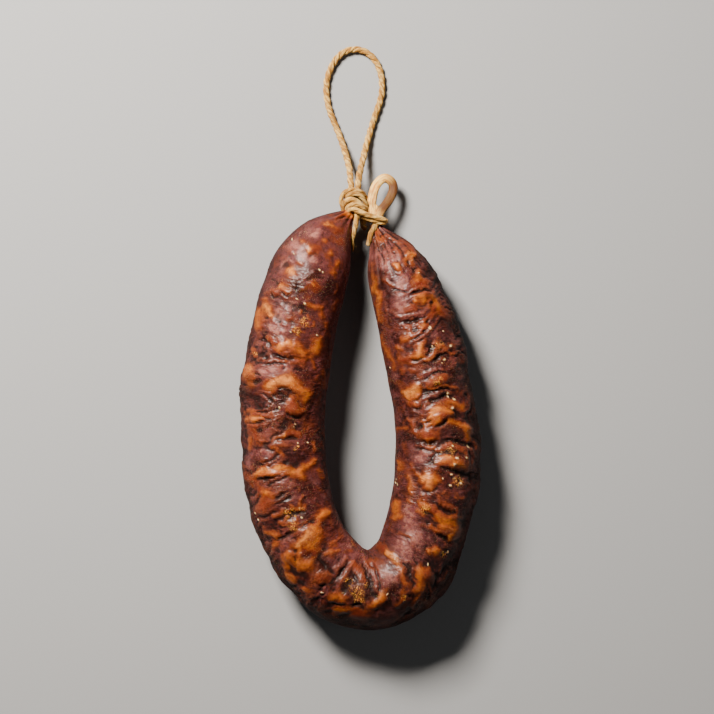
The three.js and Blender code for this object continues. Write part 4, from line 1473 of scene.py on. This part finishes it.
    def mesh(self, skin: Skin, relief: Array, values: dict) -> Piece:
        """Carry the relief round the middle line and close both tips.

        A point is the middle plus (radius + relief) times (cosine of the angle outwards plus sine
        of the angle upwards), pressed flat at the surface that it lies on.

        Args:
            skin: the grid.
            relief: height of the skin over its section.
            values: grids to store with the points.

        Returns:
            The piece, without its material.
        """
        section = skin.section
        reach = section.radius + relief
        x = section.x + section.out_x * reach * np.cos(skin.theta)
        y = section.y + section.out_y * reach * np.cos(skin.theta)
        z = np.maximum(section.height + reach * skin.up, 0.0)
        giving = self.crown - self.crown_soft
        z = np.where(z > giving, giving + self.crown_soft * np.tanh((z - giving) / self.crown_soft), z)
        points = np.stack([x, y, z], axis=-1)

        count = self.sides
        hub = z.size
        ends = np.stack([points[0].mean(axis=0), points[-1].mean(axis=0)])
        around = np.arange(count)
        after = (around + 1) % count
        last = self.rings * count
        caps = [
            np.stack([np.full(count, hub), around, after], axis=1),
            np.stack([np.full(count, hub + 1), last + after, last + around], axis=1),
        ]
        quads = Shape.closed_grid_faces(self.rings + 1, count)
        all_points = np.concatenate([points.reshape(-1, 3), ends])
        piece = Shape.build("sausage_casing", all_points, quads, caps)
        flat = skin.straight.reshape(-1, 3)
        Shape.attribute(piece, "straight", np.concatenate([flat, flat[[0, -1]]]))
        for name, grid in values.items():
            numbers = grid.ravel()
            Shape.attribute(piece, name, np.concatenate([numbers, numbers[[0, -1]]]))
        return piece

    def build(self) -> Piece:
        """Work out the skin's relief, fat and stored values, and dress it.

        Fat on top is the marks' own. Elsewhere it is scattered by noise, and inside the horseshoe
        it also lies in streaks along the sausage.

        Returns:
            The finished piece.
        """
        skin = self.skin()
        blot, facing, inside = skin.blot, skin.facing, skin.inside
        tiny = skin.noises(self.pattern.tiny_wander)
        drawn = self.drawing.work_out(skin, 1.1 * skin.fine_wander[..., :2] + 0.5 * tiny)

        relief = self.swell_relief(skin) + 0.6 * self.crease_relief(skin)
        fat = np.zeros_like(relief)
        for lump in LARGE_LUMPS:
            bell = self.lump_bell(skin, lump)
            relief += self.lump_rise * lump.height * bell
            fat = np.maximum(fat, 0.5 * smoothstep(0.1, 1.0, bell * (1 + 0.6 * blot)))
        scatter = self.pattern.scatter.over(skin.warped) + 0.4 * blot
        scattered = smoothstep(0.0, 0.55, scatter)
        streaks = self.pattern.streaks.over(skin.warped) + 0.3 * blot
        streaks = smoothstep(0.1, 0.55, streaks) * inside * facing
        fat = np.maximum(fat, (0.62 - 0.25 * skin.right_end - 0.14 * facing) * scattered)
        fat = np.maximum(fat, 0.5 * streaks)
        fat = fat * (1 - 0.7 * drawn["smooth"]) * (1 - 0.8 * drawn["dark"])
        fat = np.maximum(fat, drawn["fat"])
        own_tone = 0.25 + 0.7 * self.pattern.tone.over(skin.straight)
        tone = drawn["tone"] + own_tone * (1 - smoothstep(0.1, 0.6, drawn["fat"]))

        fade = smoothstep(0.1, 0.7, skin.section.taper) * (1 - 0.6 * inside) * (1 - 0.7 * skin.below)
        smooth = np.maximum(smoothstep(0.3, 0.9, drawn["fat"]), drawn["smooth"])
        calm = (1 - 0.35 * facing - 0.5 * smooth) * (1 - 0.6 * skin.left_end)
        relief = (relief + 0.2 * scattered) * fade + skin.texture() * calm + drawn["relief"]
        relief += self.pleats(skin)

        piece = self.mesh(skin, relief, self.stored(skin, relief, fat, tone, drawn))
        piece.data.materials.append(self.finish.material())
        return piece


@dataclass(frozen=True)
class TwineFinish:
    """Natural twine: straw fibres, with painted shade between the plies."""

    straw: tuple = tint(174, 122, 50)
    # Painted shade in fibre and ply grooves and shaded strands, also the browning of soaked ends.
    shade: tuple = tint(98, 54, 14)
    pale: tuple = tint(222, 182, 102)
    fibre: Pattern = Pattern((0.6, 5.0, 5.0), 4.0, 0.65, 0.3)
    patches: Pattern = Pattern((0.35, 0.6, 0.6), 3.0, 0.6)

    def material(self, name: str) -> Material:
        """Build the twine's nodes: fibres drawn out along each ply, with painted shade where plies meet.
        """
        g = Graph(name)
        fibre, patches = g.noise("strand", self.fibre), g.noise("strand", self.patches)
        # Fibre tone, darker where the fibre bump lies low: partly painted shade.
        colour = g.mix(g.rise(fibre, 0.3, 0.62), self.shade, self.straw)
        colour = g.mix(g.rise(patches, 0.42, 0.66), colour, self.pale, 0.85)
        # Painted shade between the plies and on shaded strands; browning on soaked ends.
        colour = g.mix(g.attribute("groove"), colour, self.shade, 0.6)
        bump = g.add("Bump", {"Height": fibre, "Strength": 0.9, "Distance": 0.0004})
        inputs = {
            "Base Color": colour,
            "Roughness": 0.8,
            "Normal": bump.outputs[0],
            "Specular IOR Level": 0.12,
            "Sheen Weight": 0.06,
            "Sheen Roughness": 0.5,
        }
        return g.finish(g.add("BsdfPrincipled", inputs))


@dataclass(frozen=True)
class Route:
    """A smooth line through given points, in millimetres, in a plane or in space."""

    points: tuple

    @cached_property
    def spline(self) -> NaturalSpline:
        """The curve through the points, by straight-line distance."""
        places = np.array(self.points, float)
        steps = np.linalg.norm(np.diff(places, axis=0), axis=1)
        return NaturalSpline(np.concatenate([[0.0], np.cumsum(steps)]), places)

    def sampled(self, spacing: float) -> Array:
        """Points along the curve, evenly spaced by its own length.

        Args:
            spacing: distance between points.

        Returns:
            The points, a row each.
        """
        fine = self.spline.at(np.linspace(0, self.spline.knots[-1], 2000))
        run = np.concatenate([[0.0], np.cumsum(np.linalg.norm(np.diff(fine, axis=0), axis=1))])
        at = np.linspace(0, run[-1], max(int(run[-1] / spacing), 4) + 1)
        return np.stack([np.interp(at, run, values) for values in fine.T], axis=1)

    def frames(self, spacing: float, reference: tuple = UP) -> tuple[Array, ...]:
        """Points along the curve, with three directions at right angles at each.

        Args:
            spacing: distance between points.
            reference: a direction that the curve never runs along.

        Returns:
            The points, and the directions forward along the curve, to its side, which is also at
            right angles to the reference, and up from both.
        """
        middle = self.sampled(spacing)
        forward = np.gradient(middle, axis=0)
        forward /= np.linalg.norm(forward, axis=1, keepdims=True)
        side = np.cross(forward, np.array(reference))
        side /= np.linalg.norm(side, axis=1, keepdims=True)
        return middle, forward, side, np.cross(side, forward)


@dataclass
class Strand:
    """A stretch of twisted twine along a route.

    Attributes:
        route: its middle line.
        radius: outer radius of the twine.
        reference: a direction that the route never runs along.
        pitch: length of one full turn of the plies.
        taper: share of the radius left at the far end.
        phase: turn of the plies at the start.
        lay: distance of each ply's middle from the route, as a share of the radius.
        soak: darkening from 0 to 1: juices browning a soaked end, painted shade in the knot.
        plies: strands twisted together.
        sides: points round each ply.
        spacing: distance between rings.
        seed: which noise and which stray fibres.
    """

    route: Route
    radius: float = 1.4
    reference: tuple = UP
    pitch: float = 10.5
    taper: float = 1.0
    phase: float = 0.0
    lay: float = 0.4
    soak: float = 0.0
    plies: int = 3
    sides: int = 14
    spacing: float = 0.33
    seed: int = 1

    def surface(self) -> tuple[Array, Array, list[Array], Array, Array]:
        """Work out the plies' skins.

        Each ply's middle circles the route at its share of the radius, turning once a pitch, and
        its section is a circle that reaches just past the radius, roughened by noise.

        Returns:
            Points, quads, end caps, straightened places, and the groove: depth between plies, raised to
            the strand's darkening, which the finish paints as shade and browning.
        """
        middle, _, side, up = self.route.frames(self.spacing, self.reference)
        count = len(middle)
        run = np.arange(count) * self.spacing
        size = self.radius * (1 + (self.taper - 1) * (run / run[-1]) ** 1.5)
        turn = 2 * np.pi * np.arange(self.sides) / self.sides
        # Painted shade where the plies meet, raised to the strand's darkening.
        dip = np.maximum(smoothstep(0.25, -0.5, np.cos(turn)), self.soak)
        all_points, quads, caps, straight, groove = [], [], [], [], []
        first = 0
        for ply in range(self.plies):
            angle = self.phase + 2 * np.pi * (run / self.pitch + ply / self.plies)
            spoke = np.cos(angle)[:, None] * side + np.sin(angle)[:, None] * up
            at = np.stack([run / 2.2, run * 0 + ply * 7.3, run * 0 + self.seed], axis=1)
            wobble = gradient_noise(at, 61)
            centre = middle + spoke * (size * self.lay)[:, None]
            around = (angle[:, None] + turn[None, :])[..., None]
            section = np.cos(around) * side[:, None] + np.sin(around) * up[:, None]
            shape = (count, self.sides)
            place = [run[:, None], 0.7 * np.cos(turn) + 3.1 * ply, 0.7 * np.sin(turn) + 1.7 * self.seed]
            place = np.stack([np.broadcast_to(values, shape) for values in place], axis=-1)
            hair = gradient_noise((place * np.array([0.6, 4.5, 4.5])).reshape(-1, 3), 62)
            uneven = 1 + 0.06 * wobble[:, None] + 0.08 * hair.reshape(shape)
            reach = size[:, None] * (1.01 - self.lay) * uneven
            points = centre[:, None] + section * reach[..., None]
            all_points.append(points.reshape(-1, 3))
            straight.append(place.reshape(-1, 3))
            groove.append(np.broadcast_to(dip, shape).ravel())
            quads.append(Shape.closed_grid_faces(count, self.sides, first))
            caps += Shape.end_fans(count, self.sides, first)
            first += count * self.sides
        points, quads, straight, groove = map(np.concatenate, (all_points, quads, straight, groove))
        return points, quads, caps, straight, groove

    def fuzz(self, density: float) -> tuple[Array, Array, Array]:
        """Stray fibres: thin three-sided tapering tubes that leave the strand at a low angle.

        Args:
            density: fibres for each millimetre of the strand.

        Returns:
            Points, quads and straightened places.
        """
        middle, forward, side, up = self.route.frames(self.spacing, self.reference)
        count = int(len(middle) * self.spacing * density)
        rng = np.random.default_rng(self.seed)
        pick = rng.integers(0, len(middle), count)
        spin = rng.uniform(0, 2 * np.pi, count)
        ahead = forward[pick]
        out = np.cos(spin)[:, None] * side[pick] + np.sin(spin)[:, None] * up[pick]
        around = np.cross(ahead, out)
        length = rng.uniform(0.8, 2.4, count)
        share = np.linspace(0, 1, 5)
        sweep = rng.uniform(-0.7, 0.7, count)
        rise = rng.uniform(0.15, 0.5, count)
        curl = rng.choice([-1.0, 1.0], count)
        spine = middle[pick][:, None] + out[:, None] * (self.radius * 0.9)
        spine = spine + (ahead * (length * curl)[:, None])[:, None] * share[None, :, None]
        spine = spine + (out * (length * rise)[:, None])[:, None] * (share**1.5)[None, :, None]
        spine = spine + (around * (length * sweep)[:, None])[:, None] * (share**2)[None, :, None]
        spine[..., 2] = np.maximum(spine[..., 2], 0.05)
        thick = 0.028 * (1 - 0.75 * share)
        corner = 2 * np.pi * np.arange(3) / 3
        ring = np.cos(corner)[None, None, :, None] * out[:, None, None]
        ring = ring + np.sin(corner)[None, None, :, None] * around[:, None, None]
        points = spine[:, :, None] + ring * thick[None, :, None, None]
        faces = Shape.closed_grid_faces(5, 3)[None] + (np.arange(count) * 15)[:, None, None]
        places = np.broadcast_to(share[None, :, None, None] * 3.0, (count, 5, 3, 3))
        return points.reshape(-1, 3), faces.reshape(-1, 4), places.reshape(-1, 3)


class StrandPiece:
    """Joins strands and their stray fibres into one piece."""

    @staticmethod
    def build(name: str, strands: list[Strand], material: Material, fuzz: float) -> Piece:
        """Make one object of several strands.

        Args:
            name: the piece's name.
            strands: the stretches of twine.
            material: its finish.
            fuzz: stray fibres for each millimetre.

        Returns:
            The finished piece.
        """
        points, quads, caps, straight, groove = [], [], [], [], []
        first = 0
        for strand in strands:
            p, q, c, place, dip = strand.surface()
            hair_points, hair_quads, hair_places = strand.fuzz(fuzz)
            points += [p, hair_points]
            quads += [q + first, hair_quads + first + len(p)]
            caps += [cap + first for cap in c]
            straight += [place, hair_places]
            groove += [dip, np.zeros(len(hair_points))]
            first += len(p) + len(hair_points)
        piece = Shape.build(name, np.concatenate(points), np.concatenate(quads), caps)
        Shape.attribute(piece, "strand", np.concatenate(straight))
        Shape.attribute(piece, "groove", np.concatenate(groove))
        piece.data.materials.append(material)
        return piece


@dataclass
class HangingLoop:
    """The long loop of twine, which falls from the knot to the surface and lies there."""

    finish: TwineFinish
    left: tuple = (
        (-3.9, 92.8), (-4.3, 97.0), (-5.4, 102.3), (-7.3, 109.0), (-9.8, 115.9), (-12.4, 122.4),
        (-14.0, 128.6), (-14.3, 134.2), (-13.2, 139.7), (-10.8, 144.6), (-7.1, 148.4),
    )
    right: tuple = (
        (-2.4, 149.8), (2.4, 148.7), (6.0, 145.6), (8.4, 141.0), (9.4, 135.6), (9.1, 129.9),
        (7.1, 123.4), (4.8, 116.2), (2.7, 109.0), (1.0, 101.8), (-0.1, 96.6), (-0.7, 92.8),
    )
    start: tuple = (-3.3, 88.4)
    end: tuple = (-1.2, 88.4)
    radius: float = 1.4
    knot_top: float = 92.0
    knot_height: float = 10.5
    fall: float = 24.0

    def route(self) -> Route:
        """The loop's middle line, from inside the knot, round the loop and back into the knot."""
        rest = self.radius + 0.1
        flat = np.array([self.start, *self.left, *self.right, self.end])
        drop = smoothstep(-3, self.fall, flat[:, 1] - self.knot_top)
        height = rest + (self.knot_height - rest) * (1 - drop)
        return Route(tuple(map(tuple, np.column_stack([flat, height]))))

    def build(self) -> Piece:
        route = self.route()
        strand = Strand(route, radius=self.radius, seed=3)
        piece = StrandPiece.build("hanging_loop", [strand], self.finish.material("twine_loop"), 2.2)
        path = route.sampled(0.8) * MM
        return piece


@dataclass
class Knot:
    """Wraps round both legs of the loop, the strand across to the right end, and the cut ends."""

    finish: TwineFinish
    core: tuple = ((-2.9, 87.4, 10.2), (-2.3, 84.6, 10.6), (-1.6, 80.6, 10.6), (0.2, 77.6, 10.8))
    outer_wrap: tuple = (
        (2.2, 85.2, 8.6), (1.9, 87.0, 10.8), (0.2, 88.6, 12.7), (-2.9, 89.3, 13.3), (-5.7, 88.7, 13.2),
        (-7.5, 86.8, 12.9), (-7.9, 84.4, 12.6), (-7.3, 82.1, 12.0), (-6.8, 80.2, 10.8), (-5.6, 78.8, 8.4),
        (-2.6, 79.2, 6.4),
    )
    upper_wrap: tuple = (
        (-4.4, 84.6, 9.2), (-5.7, 85.9, 11.6), (-5.1, 87.0, 13.4), (-3.4, 87.6, 14.3), (-1.0, 87.4, 14.4),
        (0.8, 86.2, 13.9), (2.0, 84.4, 13.0), (2.8, 82.6, 12.0), (3.0, 80.6, 10.6), (1.6, 79.4, 8.4),
    )
    middle_wrap: tuple = (
        (-3.8, 81.4, 8.2), (-5.8, 82.6, 10.4), (-5.9, 84.2, 12.8), (-4.3, 85.1, 14.4), (-2.3, 84.9, 14.9),
        (-0.6, 83.8, 14.7), (0.9, 82.3, 14.0), (2.1, 80.7, 12.8), (2.4, 79.0, 10.8),
    )
    low_wrap: tuple = (
        (-4.6, 79.4, 9.6), (-5.3, 81.4, 12.2), (-4.2, 82.7, 14.2), (-2.6, 83.1, 15.2), (-0.8, 82.8, 15.5),
        (0.8, 81.8, 15.1), (1.9, 80.4, 14.0), (2.3, 78.8, 12.0),
    )
    across: tuple = (
        (-4.6, 79.6, 11.6), (-4.1, 81.0, 13.6), (-2.6, 81.1, 15.0), (-0.8, 80.3, 15.8), (1.6, 79.2, 15.8),
        (4.5, 78.2, 15.4), (7.8, 77.3, 14.9), (10.7, 76.5, 13.6),
    )
    round_neck: tuple = (
        (0.4, 78.0, 12.0), (2.2, 77.6, 13.6), (4.8, 76.6, 14.2), (7.8, 75.7, 13.9), (10.2, 75.4, 12.8),
        (11.0, 76.2, 11.0), (9.6, 76.4, 8.4), (6.2, 76.6, 6.6), (2.4, 77.0, 7.2), (-1.0, 78.8, 8.6),
    )
    behind: tuple = ((1.6, 80.0, 8.4), (1.2, 77.4, 9.6), (1.2, 75.2, 9.0), (2.2, 73.6, 6.8))
    left_end: tuple = (
        (-0.9, 80.0, 12.6), (-1.2, 78.2, 13.9), (-1.7, 75.2, 14.0), (-2.3, 72.0, 13.7),
        (-3.0, 69.4, 13.2), (-3.1, 67.0, 12.8), (-2.9, 63.4, 12.2),
    )
    right_end: tuple = (
        (6.9, 75.4, 12.4), (6.2, 73.7, 13.4), (4.9, 71.2, 13.6), (4.1, 68.6, 13.3), (3.5, 66.0, 12.6),
    )

    @staticmethod
    def wrap(points: tuple, radius: float, seed: int, **options: float) -> Strand:
        """A strand that goes round others, and so may run straight up but not along the part."""
        options = {"pitch": 13.0, "lay": 0.3, **options}
        return Strand(Route(points), radius, reference=(0.0, 1.0, 0.0), seed=seed, **options)

    def build(self) -> list[Piece]:
        """Make the knot's pieces: its wraps, the strands across, and the two cut ends."""
        material = self.finish.material("twine_knot")
        wraps = [
            # The core and the outer and upper wraps are darkened as painted shade.
            Strand(Route(self.core), radius=3.2, pitch=14.0, soak=0.9, seed=11),
            self.wrap(self.outer_wrap, 1.05, 4, soak=0.3),
            self.wrap(self.upper_wrap, 1.05, 5, phase=1.0, soak=0.3),
            self.wrap(self.middle_wrap, 1.2, 6, pitch=14.0, lay=0.28, phase=2.0),
            self.wrap(self.low_wrap, 1.0, 12, phase=0.4),
        ]
        strands = [
            self.wrap(self.across, 1.3, 7, pitch=14.0, taper=0.85),
            self.wrap(self.round_neck, 1.0, 8, phase=0.7),
            # The strand behind is darkened as painted shade.
            Strand(Route(self.behind), radius=1.3, phase=0.2, soak=0.8, seed=13),
        ]
        ends = [
            Strand(Route(self.left_end), 1.3, pitch=13.0, lay=0.32, taper=0.3, seed=9),
            # The right cut end is browned by juices.
            Strand(Route(self.right_end), 1.35, pitch=16.0, lay=0.34, taper=0.8, soak=0.75, seed=10),
        ]
        return [
            StrandPiece.build("knot_wraps", wraps, material, 1.5),
            StrandPiece.build("knot_across", strands, material, 1.5),
            StrandPiece.build("knot_cut_ends", ends, material, 2.5),
        ]


@dataclass(frozen=True)
class DriedCasingFinish:
    """The empty casing end, dried to a tan, slightly waxy band."""

    tan: tuple = tint(206, 132, 52)
    cream: tuple = tint(255, 210, 114)
    # Amber clouds, and the painted shade of the far limb.
    amber: tuple = tint(72, 34, 11)
    streaks: Pattern = Pattern((0.22, 1.9, 1.9), 4.0, 0.6, 0.5)
    clouds: Pattern = Pattern((0.35, 0.35, 0.35), 2.0, 0.5)
    fine: Pattern = Pattern((1.2, 5.0, 5.0), 3.0, 0.6, 0.2)

    def material(self) -> Material:
        """Build the dried casing's nodes: streaks along the band, with painted shade on its far limb."""
        g = Graph("dried_casing")
        streaks, clouds = g.noise("strand", self.streaks), g.noise("strand", self.clouds)
        colour = g.mix(g.rise(streaks, 0.36, 0.64), self.tan, self.cream)
        colour = g.mix(g.rise(clouds, 0.45, 0.7), colour, self.amber, 0.3)
        # Painted shade on the far limb of the eye.
        colour = g.mix(g.attribute("dark"), colour, self.amber, 0.92)
        relief = g.plus(streaks, g.times(g.noise("strand", self.fine), 0.3))
        bump = g.add("Bump", {"Height": relief, "Strength": 0.7, "Distance": 0.0005})
        inputs = {
            "Base Color": colour,
            "Roughness": 0.55,
            "Normal": bump.outputs[0],
            "Specular IOR Level": 0.2,
            "Subsurface Weight": 0.12,
            "Subsurface Radius": (1.0, 0.45, 0.2),
            "Subsurface Scale": 0.0012,
        }
        return g.finish(g.add("BsdfPrincipled", inputs))


@dataclass
class CasingEye:
    """The empty end of the casing, folded over into a stiff little eye with a spread base."""

    finish: DriedCasingFinish = DriedCasingFinish()
    route: tuple = (
        (5.3, 78.6, 10.6), (4.9, 83.6, 10.4), (5.7, 88.4, 9.6), (7.6, 92.6, 8.4), (10.8, 94.6, 7.6),
        (13.6, 92.6, 7.4), (13.9, 88.9, 7.9), (12.1, 85.0, 9.0), (9.4, 81.4, 10.2), (7.0, 78.0, 10.9),
    )
    base: tuple = ((7.2, 75.6, 10.8), (6.0, 78.6, 10.7), (4.7, 81.2, 10.5), (3.0, 84.3, 10.3))
    fill: tuple = ((6.4, 76.4, 10.9), (6.6, 79.8, 10.6), (7.5, 82.7, 10.0))
    half_width: float = 1.95
    half_thickness: float = 1.35
    base_size: tuple[float, float] = (1.9, 1.7)
    fill_size: tuple[float, float] = (2.6, 1.2)
    roundness: float = 0.8
    streak_size: tuple = (9.0, 0.75, 0.75)
    streak_height: float = 0.14
    voxel: float = 0.26
    smoothing: int = 6
    sides: int = 32
    spacing: float = 0.3

    def band(self, points: tuple, half_width: float, half_thickness: float) -> Array:
        """One stretch of band: a squarish oval section, wide in the part's plane, along a route.

        Args:
            points: the route.
            half_width: half the width in the plane.
            half_thickness: half the thickness upwards.

        Returns:
            Grid of points, rings by sides.
        """
        middle, _, side, up = Route(points).frames(self.spacing)
        turn = 2 * np.pi * np.arange(self.sides) / self.sides
        across, thick = (
            half * np.sign(wave) * np.abs(wave) ** self.roundness
            for half, wave in ((half_width, np.cos(turn)), (half_thickness, np.sin(turn)))
        )
        return middle[:, None] + side[:, None] * across[:, None] + up[:, None] * thick[:, None]

    def build(self) -> Piece:
        """Fuse the eye and its base into one skin, roughen it along the band, and dress it.

        The stretches are joined by remeshing and smoothing. Each point then takes its distance
        along the nearest place of the route, and its offset from there, as streak coordinates.
        """
        points, quads, caps = [], [], []
        first = 0
        stretches = (
            (self.route, self.half_width, self.half_thickness),
            (self.base, *self.base_size),
            (self.fill, *self.fill_size),
        )
        for stretch in stretches:
            grid = self.band(*stretch)
            points.append(grid.reshape(-1, 3))
            quads.append(Shape.closed_grid_faces(len(grid), self.sides, first))
            caps += Shape.end_fans(len(grid), self.sides, first)
            first += len(grid) * self.sides
        rough = Shape.build("casing_end_rough", np.concatenate(points), np.concatenate(quads), caps)
        remesh = rough.modifiers.new("fuse", "REMESH")
        remesh.mode = "VOXEL"
        remesh.voxel_size = self.voxel * MM
        smooth = rough.modifiers.new("smooth", "SMOOTH")
        smooth.factor, smooth.iterations = 0.5, self.smoothing
        fused = rough.evaluated_get(bpy.context.evaluated_depsgraph_get())
        mesh = bpy.data.meshes.new_from_object(fused)
        bpy.data.objects.remove(rough)
        piece = bpy.data.objects.new("casing_end_eye", mesh)
        bpy.context.scene.collection.objects.link(piece)
        mesh.polygons.foreach_set("use_smooth", np.ones(len(mesh.polygons), bool))

        count = len(mesh.vertices)
        flat, normals = np.zeros(count * 3, np.float32), np.zeros(count * 3, np.float32)
        mesh.vertices.foreach_get("co", flat)
        mesh.vertices.foreach_get("normal", normals)
        skin = flat.reshape(-1, 3).astype(float) / MM
        middle, forward, *_ = Route(self.route).frames(self.spacing)
        nearest = np.linalg.norm(skin[:, None] - middle[None], axis=2).argmin(axis=1)
        run = nearest * self.spacing
        off = skin - middle[nearest]
        side = np.cross(forward, np.array(UP))[nearest]
        place = np.stack([run, np.einsum("ij,ij->i", off, side), off[:, 2]], axis=1)
        grain = np.abs(gradient_noise(place / np.array(self.streak_size), 71)) - 0.25
        skin += normals.reshape(-1, 3) * (self.streak_height * grain)[:, None]
        mesh.vertices.foreach_set("co", (skin * MM).astype(np.float32).ravel())
        mesh.update()
        Shape.attribute(piece, "strand", place)
        total = (len(middle) - 1) * self.spacing
        # Painted shade: the far limb of the eye is darkened.
        shaded_far_limb = smoothstep(0.42, 0.6, run / total) * smoothstep(1.0, 0.88, run / total)
        Shape.attribute(piece, "dark", shaded_far_limb)
        piece.data.materials.clear()
        piece.data.materials.append(self.finish.material())
        return piece


@dataclass(frozen=True)
class Light:
    """One soft studio light."""

    name: str
    place: tuple
    size: float
    power: float
    colour: tuple = (1.0, 1.0, 1.0)


@dataclass
class Studio:
    """Pale floor, soft lights and the camera that looks straight down on the sausage."""

    sharp_height: float = 17.0
    distance: float = 1.2
    sensor: float = 36.0
    floor_half_size: float = 2.5
    floor_colour: tuple = tint(146, 146, 145)
    lights: tuple = (
        Light("key", (-0.30, 0.46, 0.54), 0.2, 24.0, (1.0, 0.94, 0.88)),
        Light("fill", (0.75, -0.35, 0.7), 0.9, 1.0, (0.98, 0.98, 1.0)),
    )
    aim: tuple = (0.0, 0.0, 0.02)
    sky: float = 0.035
    sky_colour: tuple = (0.95, 0.97, 1.0, 1.0)

    def camera(self) -> Piece:
        """A long lens straight above: the picture's middle and scale follow from one pixel's size."""
        x, y = PHOTO.place((PHOTO.size / 2, PHOTO.size / 2))[0] * MM
        width = PHOTO.size * PHOTO.millimetres_per_pixel * MM
        data = bpy.data.cameras.new("camera")
        data.sensor_width = self.sensor
        data.lens = self.sensor * self.distance / width
        data.clip_end = 20
        camera = bpy.data.objects.new("camera", data)
        camera.location = (x, y, self.sharp_height * MM + self.distance)
        bpy.context.scene.collection.objects.link(camera)
        bpy.context.scene.camera = camera
        return camera

    def floor(self) -> Piece:
        """A plain pale floor at the height of the surface that the sausage lies on."""
        half = self.floor_half_size / MM
        corners = np.array([[-half, -half, 0], [half, -half, 0], [half, half, 0], [-half, half, 0]])
        plane = Shape.build("floor", corners, np.array([[0, 1, 2, 3]]), [])
        g = Graph("pale_floor")
        shader = g.add("BsdfPrincipled", {"Base Color": self.floor_colour, "Roughness": 0.9})
        plane.data.materials.append(g.finish(shader))
        return plane

    def build(self) -> None:
        """Set up camera, floor, lights and a weak even sky."""
        self.camera()
        self.floor()
        for light in self.lights:
            data = bpy.data.lights.new(light.name, "AREA")
            data.size = light.size
            data.energy = light.power
            data.color = light.colour
            lamp = bpy.data.objects.new(light.name, data)
            lamp.location = light.place
            right, ahead, rise = np.array(self.aim) - np.array(light.place)
            tilt = math.atan2(math.hypot(right, ahead), -rise)
            lamp.rotation_euler = (tilt, 0.0, math.atan2(ahead, right) - math.pi / 2)
            bpy.context.scene.collection.objects.link(lamp)
        world = bpy.data.worlds.new("sky")
        world.use_nodes = True
        back = world.node_tree.nodes["Background"]
        back.inputs["Color"].default_value = self.sky_colour
        back.inputs["Strength"].default_value = self.sky
        bpy.context.scene.world = world


def main() -> None:
    """Build the scene in order and report each piece."""
    logging.basicConfig(level=logging.INFO, format="%(message)s")
    Studio().build()
    twine = TwineFinish()
    made = [
        (HangingLoop(twine).build(), "twine_loop", "twine"),
        (SausageBody(MiddleLine()).build(), "sausage", "cured_casing"),
        (CasingEye().build(), "casing_eye", "dried_casing"),
        *[(piece, "knot", "twine") for piece in Knot(twine).build()],
    ]
    for piece, node, slot in made:
        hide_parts(node)
        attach(piece, ROOT)
        LOG.info("%s: %d faces, stands for %s", piece.name, len(piece.data.polygons), node)


if __name__ == "__main__":
    main()
